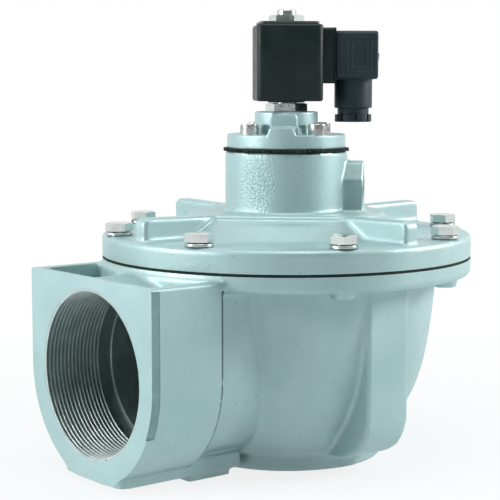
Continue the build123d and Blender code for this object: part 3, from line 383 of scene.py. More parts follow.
def settled(made):
    """Turns the object's modifiers into its mesh."""
    bpy.context.view_layer.update()
    result = bpy.data.meshes.new_from_object(made.evaluated_get(bpy.context.evaluated_depsgraph_get()))
    made.modifiers.clear()
    made.data = result
    return made


def bored(made, bm, finish=None):
    """Cuts a shape out of an object. The cut faces get the tool's finish."""
    tool = piece("tool", bm, finish)
    cut = made.modifiers.new("cut", "BOOLEAN")
    cut.operation = "DIFFERENCE"
    cut.solver = "EXACT"
    cut.material_mode = "TRANSFER"
    cut.object = tool
    settled(made)
    bpy.data.objects.remove(tool)
    return made


def drilled(r, low, high, spots, steps=32):
    """Plain round holes from one height to another, at (radius, degrees from +X) spots."""
    return together([placed(rod(r, low, high, steps), around(out, angle)) for out, angle in spots])


def cast(name, shapes, grain, melt, crease, most, finish, fold=-0.14):
    """Fuses overlapping shapes into one casting. Grain is the mesh's pitch in millimetres, melt the
    rounds of softening that every edge gets, crease those for the inner corners' cast fillets, most the
    number of triangles that are kept, and fold the angle of an inner corner in radians."""
    made = piece(name, together(shapes))
    fuse = made.modifiers.new("fuse", "REMESH")
    fuse.mode = "VOXEL"
    fuse.voxel_size = grain * MM
    settled(made)
    bm = bmesh.new()
    bm.from_mesh(made.data)
    every = {"factor": 0.5, "use_axis_x": True, "use_axis_y": True, "use_axis_z": True}
    for _ in range(melt):
        bmesh.ops.smooth_vert(bm, verts=bm.verts, **every)
    bm.normal_update()
    folds = [e for e in bm.edges if len(e.link_faces) == 2 and e.calc_face_angle_signed() < fold]
    inner = {v for e in folds for v in e.verts}
    for _ in range(3):
        inner |= {e.other_vert(v) for v in inner for e in v.link_edges}
    for _ in range(crease):
        bmesh.ops.smooth_vert(bm, verts=list(inner), **every)
    bm.to_mesh(made.data)
    bm.free()
    thin = made.modifiers.new("thin", "DECIMATE")
    thin.ratio = min(1, most / (2 * len(made.data.polygons)))
    settled(made)
    made.data.materials.clear()
    made.data.materials.append(finish)
    return made


def shaded(made, crisp=32):
    """Smooth shading that stays crisp where faces meet at more than that many degrees."""
    for face in made.data.polygons:
        face.use_smooth = True
    made.data.set_sharp_from_angle(angle=math.radians(crisp))
    return made


def fitted(made, body, slot, *stands_for):
    """Puts a finished piece on its body and hides the nodes that it stands for. The slot is not used."""
    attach(shaded(made), body)
    if stands_for:
        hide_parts(*stands_for)
    return made


def new_finish(name, metallic, roughness):
    """A principled material, its shader and its object coordinates."""
    finish = bpy.data.materials.new(name)
    finish.use_nodes = True
    shader = finish.node_tree.nodes["Principled BSDF"]
    shader.inputs["Metallic"].default_value = metallic
    shader.inputs["Roughness"].default_value = roughness
    place = finish.node_tree.nodes.new("ShaderNodeTexCoord").outputs["Object"]
    return finish, shader, place


def grey(value):
    return (value, value, value)


def clouds(finish, place, scale, detail, low=grey(0), high=grey(1), tight=0.18, middle=0.5):
    """Noise on the piece, spread from a low to a high colour. Tight is half the width of the spread."""
    tree = finish.node_tree
    grain = tree.nodes.new("ShaderNodeTexNoise")
    grain.inputs["Scale"].default_value = scale
    grain.inputs["Detail"].default_value = detail
    tree.links.new(place, grain.inputs["Vector"])
    spread = tree.nodes.new("ShaderNodeValToRGB")
    spread.color_ramp.elements[0].position = middle - tight
    spread.color_ramp.elements[1].position = middle + tight
    spread.color_ramp.elements[0].color = (*low, 1)
    spread.color_ramp.elements[1].color = (*high, 1)
    tree.links.new(grain.outputs["Fac"], spread.inputs["Fac"])
    return spread.outputs["Color"]


def relief(finish, shader, layers, depth=0.0003):
    """Bumps the shader's normal with several (height, strength) layers."""
    tree = finish.node_tree
    last = None
    for height, strength in layers:
        bump = tree.nodes.new("ShaderNodeBump")
        bump.inputs["Strength"].default_value = strength
        bump.inputs["Distance"].default_value = depth
        tree.links.new(height, bump.inputs["Height"])
        if last:
            tree.links.new(last, bump.inputs["Normal"])
        last = bump.outputs["Normal"]
    tree.links.new(last, shader.inputs["Normal"])


def near(finish, place, centre, size, pattern):
    """A pattern that fades out from a centre to the edge of a ball shape. Millimetres."""
    tree = finish.node_tree
    fit = tree.nodes.new("ShaderNodeMapping")
    fit.vector_type = "TEXTURE"
    fit.inputs["Location"].default_value = [c * MM for c in centre]
    fit.inputs["Scale"].default_value = [s * MM for s in size]
    ball = tree.nodes.new("ShaderNodeTexGradient")
    ball.gradient_type = "SPHERICAL"
    both = tree.nodes.new("ShaderNodeMath")
    both.operation = "MULTIPLY"
    tree.links.new(place, fit.inputs["Vector"])
    tree.links.new(fit.outputs[0], ball.inputs["Vector"])
    tree.links.new(ball.outputs["Fac"], both.inputs[0])
    tree.links.new(pattern, both.inputs[1])
    return both.outputs[0]


def cast_coat(name, rough_spots):
    """Satin silver-blue coat on a die-cast skin: clouds of tone, flake, orange peel and rough spots.
    Each spot is a centre, a size in millimetres, and how fine its grain is."""
    finish, shader, place = new_finish(name, 0.4, 0.46)
    tree = finish.node_tree
    tone = clouds(finish, place, 26, 4, (0.36, 0.50, 0.50), (0.42, 0.56, 0.56))
    specks = tree.nodes.new("ShaderNodeMix")
    specks.data_type = "RGBA"
    specks.blend_type = "MULTIPLY"
    specks.inputs["Factor"].default_value = 1
    tree.links.new(tone, specks.inputs["A"])
    tree.links.new(clouds(finish, place, 640, 1, grey(1), grey(0.72), 0.03, 0.74), specks.inputs["B"])
    tree.links.new(specks.outputs["Result"], shader.inputs["Base Color"])
    gloss = clouds(finish, place, 70, 5, grey(0.38), grey(0.52))
    tree.links.new(gloss, shader.inputs["Roughness"])
    layers = [(clouds(finish, place, 330, 3), 0.08), (clouds(finish, place, 1500, 1), 0.10)]
    for centre, size, scale in rough_spots:
        pits = clouds(finish, place, scale, 2, tight=0.08)
        layers.append((near(finish, place, centre, size, pits), 1.0))
    relief(finish, shader, layers, 0.0004)
    return finish


def metal(name, low, high, roughness, metallic=1.0, marks=0.06):
    """Bare or plated metal with clouds of tone and fine marks."""
    finish, shader, place = new_finish(name, metallic, roughness)
    tree = finish.node_tree
    tree.links.new(clouds(finish, place, 150, 4, low, high, 0.3), shader.inputs["Base Color"])
    gloss = clouds(finish, place, 420, 4, grey(roughness - 0.05), grey(roughness + 0.06))
    tree.links.new(gloss, shader.inputs["Roughness"])
    relief(finish, shader, [(clouds(finish, place, 800, 3), marks)])
    return finish


raised_mark = ((2, -117, 107), (20, 14, 9), 420)
body_coat = cast_coat("body_coat", [raised_mark])
bore_metal = metal("bored_aluminium", (0.16, 0.21, 0.205), (0.27, 0.32, 0.315), 0.5, 0.35, 0.2)
# A darker, duller copy of the coat that paints shade on the strip beside the block's face.
painted_shade_coat = metal("coat_painted_shade", (0.21, 0.31, 0.32), (0.28, 0.39, 0.40), 0.55, 0.1)
# A near-black finish that paints the shade in the crease at the block's step and in the gaps under bolt heads
# and washers.
painted_crease_shade = metal("painted_crease_shade", (0.06, 0.10, 0.11), (0.12, 0.17, 0.18), 0.6, 0)


def bowl_line(inset, low=0.0):
    """The bowl's flank from its foot, or a height above it, to the flange, moved in by inset."""
    line = []
    for start, end in zip(bowl_knots, bowl_knots[1:]):
        rise = (end[1] - start[1]) / 3
        knots = [
            Vector((start[0] - inset, start[1])),
            Vector((start[0] - inset + start[2] * rise, start[1] + rise)),
            Vector((end[0] - inset - end[2] * rise, end[1] - rise)),
            Vector((end[0] - inset, end[1])),
        ]
        line += [tuple(p) for p in interpolate_bezier(*knots, 14)][:-1]
    line.append((bowl_knots[-1][0] - inset, bowl_knots[-1][1]))
    return [p for p in line if p[1] >= low]


def d_outline(r, top, corner):
    """Section of the inlet block and its duct: round below, square above, flat underneath."""
    arc = [math.pi * (1 + i / 72) for i in range(73)]
    lower = [(r * math.cos(a), max(inlet_height + r * math.sin(a), foot_low)) for a in arc]
    return rounded(lower + [(r, top, corner), (-r, top, corner)])


def flank_cut(left, low, high, back, front, bite_back, bite_front):
    """A tool that trims the inlet block's flank between two heights and two depths. Its bite in
    millimetres changes from back to front, and a bite below zero leaves the flank alone."""
    core = pressed(d_outline(block_r, block_top, block_edge), back - 1, front + 1)
    for v in core.verts:
        shrunk = 1 - (bite_back if v.co.z < back else bite_front) / block_r
        v.co.x *= shrunk
        v.co.y = inlet_height + (v.co.y - inlet_height) * shrunk
    rim = piece("rim", placed(slab(left, 60, low, high, back, front), upright))
    bored(rim, placed(core, upright))
    return loose(rim)


block_back = inlet_face - block_depth
bowl = turned(
    rounded([(0, 0), (ring_r, 0, ring_edge), (ring_r, ring_h, ring_edge), (bowl_knots[0][0], ring_h)])
    + bowl_line(0)
    + rounded([
        (bowl_knots[-1][0], flange_low), (flange_r, flange_low, flange_edge),
        (flange_r, seam_z + spare), (0, seam_z + spare),
    ])
)
pocket = piece("pocket", slab(-pocket_half, pocket_half, -pocket_front, -60, pocket_floor, 120))
bored(pocket, placed(rod(crown_r, 50, 140), inlet_axis))
bored(pocket, rod(pocket_back_r, 60, 130))
block_section = d_outline(block_r, block_top, block_edge)
block = piece("block", placed(pressed(block_section, block_back, inlet_face + spare), upright))
bored(block, loose(pocket))
duct_section = d_outline(duct_r, flange_low + 1, duct_edge)
duct = placed(pressed(duct_section, throat_wall_r, block_back), upright)
toe_angles = [math.pi / 32 * i for i in range(1, 17)]
buttress_side = (
    [(buttress_in, buttress_top), (buttress_in, buttress_low), (buttress_toe, buttress_low)]
    + [
        (buttress_toe + buttress_round * math.sin(a), buttress_low + buttress_round * (1 - math.cos(a)))
        for a in toe_angles
    ]
    + [(buttress_toe + buttress_round, buttress_top)]
)
buttresses = []
for side in (0, math.pi):
    bar = eased(
        placed(pressed(buttress_side, -buttress_half, buttress_half), upright), buttress_edge, 6,
        lambda e: on_a_side(e) and min(v.co.x for v in e.verts) > buttress_toe - 0.1,
    )
    buttresses.append(placed(bar, Matrix.Rotation(side, 4, "Z")))
foot = pressed(rounded([
    (-foot_half, -foot_back), (-foot_half, -foot_front, foot_corner),
    (foot_half, -foot_front, foot_corner), (foot_half, -foot_back),
]), foot_low, foot_top)
heel = pressed(rounded([
    (-heel_half, -heel_front, heel_corner), (heel_half, -heel_front, heel_corner),
    (heel_half, -heel_back, heel_corner), (-heel_half, -heel_back, heel_corner),
]), -1, 5)
bolt_spots = [(bolt_circle, bearing - 90) for bearing in bolt_bearings]
nubs = drilled(nub_r, nub_low, nub_top, bolt_spots)
shapes = [bowl, loose(block), duct, foot, heel, nubs] + buttresses
valve_body = cast("valve_body_casting", shapes, grain=0.8, melt=2, crease=7, most=150000, finish=body_coat)
bored(valve_body, slab(-70, 70, -140, -inlet_face, -5, 120), body_coat)
bored(valve_body, slab(-70, 110, -100, 100, -5, 0), body_coat)
# The near-black finish on the block's step edge paints the shade in the crease between block and duct.
for side in (-1, 1):
    step_edge = flank_cut(
        left=20, low=9, high=103, back=block_back - 0.4, front=block_back + 1.8,
        bite_back=1.3, bite_front=-0.35,
    )
    placed(step_edge, Matrix.Scale(side, 4, Vector((1, 0, 0))))
    bmesh.ops.recalc_face_normals(step_edge, faces=step_edge.faces)
    bored(valve_body, step_edge, painted_crease_shade)
# The strip beside the block's face is cut and takes the darker copy of the coat, as painted shade.
painted_shade_strip = flank_cut(
    left=20, low=33, high=106.2, back=pocket_front, front=132, bite_back=-0.1, bite_front=1.6
)
bored(valve_body, painted_shade_strip, painted_shade_coat)
chamber = turned(
    rounded([
        (0, -1), (port_r, -1), (port_r, port_depth), (throat_r, port_depth),
        (throat_r, seat_z, seat_round), (throat_wall_r, seat_z, seat_round), (throat_wall_r, chamber_floor),
    ])
    + bowl_line(bowl_wall, chamber_floor)
    + [(clamp_r, seam_z), (flange_r + 3, seam_z), (flange_r + 3, seam_z + 4), (0, seam_z + 4)]
)
bored(valve_body, chamber, bore_metal)
bored(valve_body, drilled(bolt_hole_r, 99.5, 112, bolt_spots), bore_metal)
inlet_bore = [
    (0, duct_bore_end), (duct_bore_r, duct_bore_end), (duct_bore_r, relief_end - 0.3),
    (duct_bore_r + 0.4, relief_end), (port_r, relief_end), (port_r, inlet_face - 0.4), (0, inlet_face - 0.4),
]
mouth = [
    (0, 120), (port_r, 120), (port_r, inlet_face - port_chamfer),
    (port_r + port_chamfer + 1, inlet_face + 1), (0, inlet_face + 1),
]
bored(valve_body, placed(turned(mouth, 256), inlet_axis), body_coat)
bored(valve_body, placed(turned(inlet_bore, 256), inlet_axis), bore_metal)
fitted(valve_body, "root", "casting", "valve_body")

# The pipe threads in the two ports, cut in the bare aluminium at 11 turns to the inch, with bright
# crests. The inlet's runs out through its face. Behind it, the step to the duct has a bright edge.
thread_pitch = 2.309
thread_height = 1.45
inlet_thread_length = 33.8
inlet_turns = 14.8
outlet_thread_start = 2.6
outlet_turns = 13
thread_set_back = 0.15
crest_metal = metal("thread_crests", (0.34, 0.40, 0.39), (0.56, 0.62, 0.61), 0.38, 0.5)


def thread(r, pitch, height, start, turns, axis, steps=120):
    """A ridge that winds inside a bore of radius r, from a start along its axis."""
    bm = bmesh.new()
    foot = pitch * 0.47
    crest = pitch * 0.11
    section = [
        (r + 0.4, -foot), (r, -foot), (r - height, -crest),
        (r - height, crest), (r, foot), (r + 0.4, foot),
    ]
    face = bm.faces.new([bm.verts.new((x, 0, start + z)) for x, z in section])
    bmesh.ops.spin(
        bm, geom=[face], cent=(0, 0, 0), axis=(0, 0, 1), dvec=(0, 0, pitch / steps),
        angle=2 * math.pi * turns, steps=int(turns * steps), use_merge=False,
    )
    bmesh.ops.recalc_face_normals(bm, faces=bm.faces)
    return placed(bm, axis)


step_ring = turned([
    (duct_bore_r - 0.1, relief_end - 0.4), (duct_bore_r + 0.7, relief_end - 0.4),
    (duct_bore_r + 0.7, relief_end + 0.3), (duct_bore_r + 0.3, relief_end + 0.3),
], 256)
fitted(piece("bore_step_edge", placed(step_ring, inlet_axis), crest_metal), "root", "casting")
inlet_start = inlet_face - inlet_thread_length
inlet_ridge = thread(port_r, thread_pitch, thread_height, inlet_start, inlet_turns, inlet_axis)
inlet_ridge = piece("inlet_thread", inlet_ridge, crest_metal)
bored(inlet_ridge, slab(-50, 50, -140, thread_set_back - inlet_face, 5, 110), crest_metal)
fitted(inlet_ridge, "root", "casting")
upward = Matrix.Identity(4)
outlet_ridge = thread(port_r, thread_pitch, thread_height, outlet_thread_start, outlet_turns, upward)
fitted(piece("outlet_thread", outlet_ridge, crest_metal), "root", "casting")

# The main diaphragm: black rubber clamped between the flanges, where its slightly ragged edge shows.
# Inside, a rolled bend carries the disc that closes the seat, and lets it lift.
cover_low = 111.5
disc_low = 106.0
disc_top = 108.5
rubber_r = 101.5
main_bend = (77.2, 70, 67, 60)
main_bolt_hole_r = 5.1
bolt_clear_r = 4.5


def rubber(name):
    """Black moulded rubber with a dull bloom."""
    finish, shader, place = new_finish(name, 0, 0.7)
    shader.inputs["Specular IOR Level"].default_value = 0.25
    tone = clouds(finish, place, 90, 4, (0.003, 0.008, 0.008), (0.010, 0.017, 0.017))
    finish.node_tree.links.new(tone, shader.inputs["Base Color"])
    relief(finish, shader, [(clouds(finish, place, 700, 3), 0.4)])
    return finish


def rolled(radii, start_z, end_z, steps):
    """A bend along four radii that leaves one height level and meets the other level."""
    knots = [Vector(knot) for knot in zip(radii, (start_z, start_z, end_z, end_z))]
    return [tuple(p) for p in interpolate_bezier(*knots, steps)]


def ragged(bm, r, reach):
    """Moves the rim beyond r in and out a little, as a punched rubber edge is."""
    for v in bm.verts:
        out = Vector((v.co.x, v.co.y, 0))
        if out.length > r:
            v.co += out.normalized() * reach * (noise.noise(out * 0.35) + noise.noise(v.co * 1.3))
    return bm


black_rubber = rubber("black_rubber")
diaphragm_outline = (
    [(rubber_r, seam_z), (rubber_r, cover_low)]
    + rolled(main_bend, cover_low, disc_top, 14)
    + [(main_bolt_hole_r, disc_top), (main_bolt_hole_r, disc_low)]
    + rolled(main_bend[::-1], disc_low, seam_z, 14)
)
diaphragm_shape = ragged(turned(diaphragm_outline, 384), rubber_r - 0.5, 0.4)
main_diaphragm = piece("main_diaphragm_rubber", diaphragm_shape, black_rubber)
bored(main_diaphragm, drilled(bolt_clear_r, 108, 113, bolt_spots))
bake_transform(shaded(main_diaphragm))
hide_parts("main_diaphragm")

# The plates, bolt, washer and nut that grip the middle of the main diaphragm, the small metal and rubber
# parts of the pilot, plunger and cable gland, and the springs that shut the diaphragms and the plunger:
# zinc-plated steel, black rubber and drawn spring wire. The springs' travels are in metres.
zinc = metal("zinc_plate", (0.44, 0.49, 0.48), (0.52, 0.57, 0.56), 0.34)
spring_wire = metal("spring_wire", (0.42, 0.42, 0.40), (0.60, 0.60, 0.57), 0.34)


def finished(finish, *names):
    """Gives the nodes that keep their own shape their finish."""
    for name in names:
        nodes[name].data.materials.clear()
        nodes[name].data.materials.append(finish)


finished(zinc, "main_top_plate", "main_bottom_plate", "main_bolt", "main_lock_washer", "main_nut")
finished(zinc, "pilot_plate", "pilot_rivet", "connector_screw", "gland_washer")
finished(spring_wire, "main_spring", "pilot_spring", "plunger_spring")
finished(black_rubber, "core_o_ring", "plunger_seal", "gland_grommet")
for spring, joint, travel in (
    ("main_spring", "main_lift", 0.012),
    ("pilot_spring", "pilot_lift", 0.004),
    ("plunger_spring", "plunger_lift", 0.0017),
):
    low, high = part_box(spring)
    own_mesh(nodes[spring])

# The top cover: one casting with the same coat. A flange, a dome with a raised round pad, four ribs with
# rounded ends, and the turret with the faceted boss of its exhaust port.
cover_top = 123.3
dome_foot_r = 71.0
dome_r = 56.5
dome_top = 131.7
pad_r = 54.0
pad_flat = 40.0
pad_top = 134.9
in_dome = 125.0
rib_in = 28.0
rib_out = 98.8
rib_low = 117.0
rib_rise = 0.9
rib_half = 4.8
turret_r = 33.6
turret_top = 167.7
boss_half = 12.0
boss_flat_half = 6.0
boss_low = 130.0
boss_shoulder = 152.0
boss_top = 162.3
boss_face = 43.0
spring_pocket_r = 20.0
spring_pocket_top = 138.0
dome_ceiling = 126.7
pilot_seat_r = 13.5
pilot_seat_z = 164.7
well_r = 21.5
well_floor = 146.0
passage_r = 3.5
passage_circle = 17.5
screw_circle = 26.0
screw_hole_r = 3.03
exhaust_height = 148.0
exhaust_r = 6.58
exhaust_bore_r = 4.8
exhaust_bore_end = 32.0
facing = Matrix.Rotation(math.pi / 2, 4, "Y") @ Matrix.Rotation(math.pi / 2, 4, "Z")
to_boss = turn(135)
exhaust_axis = Matrix.Translation((0, 0, exhaust_height)) @ to_boss @ Matrix.Rotation(math.pi / 2, 4, "Y")
turret_patch = ((14, -35, 152), (15, 15, 26), 760)
cover_coat = cast_coat("cover_coat", [turret_patch])

dome = turned(rounded([
    (0, cover_low - spare), (flange_r, cover_low - spare), (flange_r, cover_top, flange_edge),
    (dome_foot_r, cover_top, 8), (dome_r, dome_top, 6), (0, dome_top),
]))
round_pad = turned(rounded([(0, in_dome), (pad_r, in_dome), (pad_r, pad_top, 0.8), (0, pad_top)]))
round_pad = piece("round_pad", round_pad)
bored(round_pad, placed(slab(pad_flat, 60, -60, 60, in_dome - 1, 140), turn(45)))
rib_side = rounded([
    (rib_in, rib_low), (rib_out, rib_low), (rib_out, pad_top + rib_rise, 4), (pad_r, pad_top),
    (rib_in, pad_top),
])
ribs = []
for i in range(4):
    rib = eased(
        placed(pressed(rib_side, -rib_half, rib_half), upright), 1.7, 4,
        lambda e: on_a_side(e) and max(v.co.x for v in e.verts) > rib_in + 2
        and max(v.co.z for v in e.verts) > rib_low + 1,
    )
    ribs.append(placed(rib, Matrix.Rotation(math.pi / 2 * i, 4, "Z")))
turret = turned(rounded([
    (0, in_dome), (turret_r, in_dome), (turret_r, turret_top, 0.5), (0, turret_top),
]))
boss_front = rounded([
    (-boss_half, boss_low), (boss_half, boss_low), (boss_half, boss_shoulder, 1),
    (boss_flat_half, boss_top, 2), (-boss_flat_half, boss_top, 2), (-boss_half, boss_shoulder, 1),
])
boss = eased(
    placed(pressed(boss_front, 10, boss_face), facing), 1.4, 3,
    lambda e: min(v.co.x for v in e.verts) > boss_face - 0.1 and min(v.co.z for v in e.verts) > boss_low + 5,
)
shapes = [dome, loose(round_pad), turret, placed(boss, to_boss)] + ribs
top_cover = cast("top_cover_casting", shapes, grain=0.75, melt=2, crease=9, most=130000, finish=cover_coat)
under_dome = turned([
    (0, cover_low - 4), (flange_r + 3, cover_low - 4), (flange_r + 3, cover_low), (clamp_r, cover_low),
    (66, 118.3), (54, dome_ceiling), (spring_pocket_r, dome_ceiling), (spring_pocket_r, spring_pocket_top),
    (0, spring_pocket_top),
])
well = piece("well", turned([
    (pilot_seat_r, well_floor), (well_r, well_floor), (well_r, turret_top + 1), (0, turret_top + 1),
    (0, pilot_seat_z), (pilot_seat_r, pilot_seat_z),
]))
bored(well, placed(rod(7.5, 12.5, 22.6, 64), exhaust_axis))
screw_spots = [(screw_circle, 90 * i) for i in range(4)]
screw_holes = drilled(screw_hole_r, 156, 169, screw_spots)
bored(top_cover, together([under_dome, loose(well), screw_holes]), bore_metal)
bored(top_cover, drilled(bolt_clear_r, 110, 126, bolt_spots), bore_metal)
passages = drilled(passage_r, 137, 147, [(passage_circle, angle) for angle in (135, 195, 255)])
seat_bore = drilled(10, 142.2, 165.7, [(0, 0)], 96)
bored(top_cover, together([passages, seat_bore]), bore_metal)
exhaust = turned([
    (0, 7), (exhaust_bore_r, 7), (exhaust_bore_r, exhaust_bore_end), (exhaust_r, exhaust_bore_end),
    (exhaust_r, boss_face + 1), (0, boss_face + 1),
], 96)
bored(top_cover, placed(exhaust, exhaust_axis), bore_metal)
fitted(top_cover, "root", "casting", "top_cover")
exhaust_ridge = thread(exhaust_r, pitch=1.337, height=0.8, start=33, turns=6, axis=exhaust_axis, steps=64)
fitted(piece("exhaust_thread", exhaust_ridge, crest_metal), "root", "casting")

# The cover bolts: eight hexagon bolts in zinc-plated steel, each on a split spring washer. Their heads
# stopped at different turns when they were tightened. Thin gaps part head, washer and flange, and a
# near-black finish in them paints their shade.
bolt_turns = [-4, -40, -12, -34, 0, 15, 38, -10]
bolt_r = 4.0
bolt_end = 100.3
bolt_flats = 13.0
bearing_r = 5.6
washer_bore_r = 4.1
washer_r = 7.2
washer_edge = 0.5
washer_top = cover_top + 2.0
head_low = washer_top
head_high = head_low + 5.0


def hexagon(across_flats, low, high, cone):
    """A hexagon head or nut whose upper corners are turned off by a flat cone."""
    corner_r = across_flats / 2 / math.cos(math.pi / 6)
    corners = [(corner_r * math.cos(math.pi / 3 * k), corner_r * math.sin(math.pi / 3 * k)) for k in range(6)]
    head = piece("head", pressed(corners, low, high))
    flat_r = across_flats / 2 - 0.3
    past_r = corner_r + 1
    bored(head, turned([(flat_r, high + 1), (flat_r, high), (past_r, high - cone), (past_r, high + 1)], 96))
    return loose(head)


def undercuts(r, low, high):
    """The gaps under eight heads or washers, as rings beyond radius r; their cut faces carry painted shade.
    """
    groove = turned([(r, low), (9, low), (9, high), (r, high)], 48)
    return together([placed(groove.copy(), around(out, angle)) for out, angle in bolt_spots])


shank_top = head_low + 0.2
shank = turned(rounded([(0, bolt_end), (bolt_r, bolt_end, 0.6), (bolt_r, shank_top), (0, shank_top)]), 48)
under_head = rod(bearing_r, head_low, head_low + 0.6, 48)
bolt = together([shank, under_head, hexagon(bolt_flats, head_low + 0.1, head_high, 0.9)])
ring = piece("ring", turned(rounded([
    (washer_bore_r, cover_top), (washer_r, cover_top, washer_edge),
    (washer_r, washer_top, washer_edge), (washer_bore_r, washer_top),
]), 64))
bored(ring, slab(3, 9, -0.6, 0.6, cover_top - 1, washer_top + 1))
ring = loose(ring)
bolts = []
rings = []
for bearing, own_turn in zip(bolt_bearings, bolt_turns):
    spot = turn(bearing) @ Matrix.Translation((bolt_circle, 0, 0)) @ turn(bearing).inverted()
    bolts.append(placed(bolt.copy(), spot @ Matrix.Rotation(math.radians(own_turn), 4, "Z")))
    rings.append(placed(ring.copy(), spot @ Matrix.Rotation(math.radians(own_turn * 3 + 150), 4, "Z")))
bright_zinc = metal("bright_zinc", (0.58, 0.63, 0.61), (0.68, 0.73, 0.71), 0.17, marks=0.03)
bolt_set = piece("cover_bolt_set", together(bolts), bright_zinc)
# The cut faces under the bolt heads take the near-black finish, which paints the shade in the gaps.
bored(bolt_set, undercuts(5.2, head_low - 0.1, head_low + 0.6), painted_crease_shade)
fitted(bolt_set, "root", "zinc_steel", "cover_bolts")
washer_set = piece("spring_washer_set", together(rings), zinc)
# Under the washers too, the near-black finish paints the shade in the gaps.
bored(washer_set, undercuts(6.7, cover_top - 0.1, cover_top + 0.5), painted_crease_shade)
fitted(washer_set, "root", "zinc_steel", "cover_spring_washers")

# The pilot diaphragm: thin black rubber under the cap. Its edge stands a little proud of the turret and
# is uneven where it was squeezed.
gasket_r = 34.2
gasket_edge = 0.6
cap_low = 169.5
pilot_bend = (21.2, 18.5, 18, 15)
pilot_disc_low = 164.7
pilot_disc_top = 166.3
rivet_hole_r = 2.05
screw_clear_r = 3.3
pilot_outline = rounded(
    [(gasket_r, turret_top, gasket_edge), (gasket_r, cap_low, gasket_edge)]
    + rolled(pilot_bend, cap_low, pilot_disc_top, 12)
    + [(rivet_hole_r, pilot_disc_top), (rivet_hole_r, pilot_disc_low)]
    + rolled(pilot_bend[::-1], pilot_disc_low, turret_top, 12)
)
pilot_shape = ragged(turned(pilot_outline, 384), gasket_r - 1, 0.85)
pilot_diaphragm = piece("pilot_diaphragm_rubber", pilot_shape, black_rubber)
bored(pilot_diaphragm, drilled(screw_clear_r, 167, 170, screw_spots))
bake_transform(shaded(pilot_diaphragm))
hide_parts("pilot_diaphragm")

# The pilot cap: a small casting with the same coat. Its plate carries the column for the guide tube and
# the raised passage that runs out to the rim, with a flat land above it.
cap_r = 32.6
plate_top = 177.1
cap_top = 189.3
column_r = 17.4
in_plate = 175.0
hump_half = 7.7
hump_flat_half = 6.2
hump_top = plate_top + 4
land_half = 7.0
land_top = 188.1
land_out = 18.3
cap_ceiling = 174.5
pilot_pocket_r = 9.0
pilot_pocket_top = 181.7
orifice_r = 1.2
nozzle_r = 2.6
nozzle_low = 183.9
nozzle_top = 186.1
tube_seat_r = 8.0
to_hump = turn(45)
cap_coat = cast_coat("cap_coat", [])
plate = turned(rounded([(0, cap_low), (cap_r, cap_low, 0.4), (cap_r, plate_top, 0.9), (0, plate_top)]))
column = turned(rounded([(0, in_plate), (column_r, in_plate), (column_r, cap_top, 0.9), (0, cap_top)]))
column = piece("column", column)
for bearing in (10, 80):
    bored(column, placed(slab(15.9, 20, -2.1, 2.1, plate_top, plate_top + 4.4), turn(bearing)))
hump_end = rounded([
    (-hump_half, in_plate), (hump_half, in_plate), (hump_half, plate_top), (hump_flat_half, hump_top, 1.2),
    (-hump_flat_half, hump_top, 1.2), (-hump_half, plate_top),
])
hump = piece("hump", placed(pressed(hump_end, 0, 40), to_hump @ facing))
bored(hump, turned([(cap_r, 170), (60, 170), (60, 190), (cap_r, 190)]))
land_end = rounded([
    (-land_half, in_plate), (land_half, in_plate), (land_half, land_top, 2), (-land_half, land_top, 2),
])
land = placed(pressed(land_end, 0, land_out), to_hump @ facing)
shapes = [plate, loose(column), loose(hump), land]
pilot_cap = cast("pilot_cap_casting", shapes, grain=0.36, melt=1, crease=8, most=60000, finish=cap_coat)
cap_bore = turned([
    (0, 169), (well_r, 169), (well_r, cap_ceiling), (pilot_pocket_r, cap_ceiling),
    (pilot_pocket_r, pilot_pocket_top), (orifice_r, pilot_pocket_top), (orifice_r, nozzle_top),
    (nozzle_r, nozzle_top), (nozzle_r, nozzle_low), (tube_seat_r, nozzle_low), (tube_seat_r, 190), (0, 190),
], 96)
bored(pilot_cap, together([cap_bore, drilled(screw_clear_r, 169, 178, screw_spots)]), bore_metal)
fitted(pilot_cap, "root", "casting", "pilot_cap")

# The cap screws: four socket head screws in zinc-plated steel, with straight-knurled round heads.
screw_r = 3.0
screw_end = 157.7
screw_head_r = 4.75
screw_head_top = 183.0
socket_r = 2.89
socket_floor = 180.0
head = piece("head", turned(rounded([
    (0, plate_top), (screw_head_r, plate_top), (screw_head_r, screw_head_top, 0.5), (0, screw_head_top),
]), 64))
socket = [(socket_r * math.cos(math.pi / 3 * k), socket_r * math.sin(math.pi / 3 * k)) for k in range(6)]
bored(head, pressed(socket, socket_floor, screw_head_top + 1))
knurls = [
    placed(slab(4.5, 5.0, -0.16, 0.16, 177.6, 182.2), Matrix.Rotation(math.pi / 15 * k, 4, "Z"))
    for k in range(30)
]
screw = together([loose(head), rod(screw_r, screw_end, plate_top + 0.1, 32)] + knurls)
screws = []
for out, angle in screw_spots:
    spot = around(out, angle)
    screws.append(placed(screw.copy(), spot @ Matrix.Rotation(math.radians(angle / 4), 4, "Z")))
screw_zinc = metal("screw_zinc", (0.48, 0.52, 0.50), (0.78, 0.81, 0.79), 0.24)
fitted(piece("cap_screw_set", together(screws), screw_zinc), "root", "zinc_steel", "cap_screws")

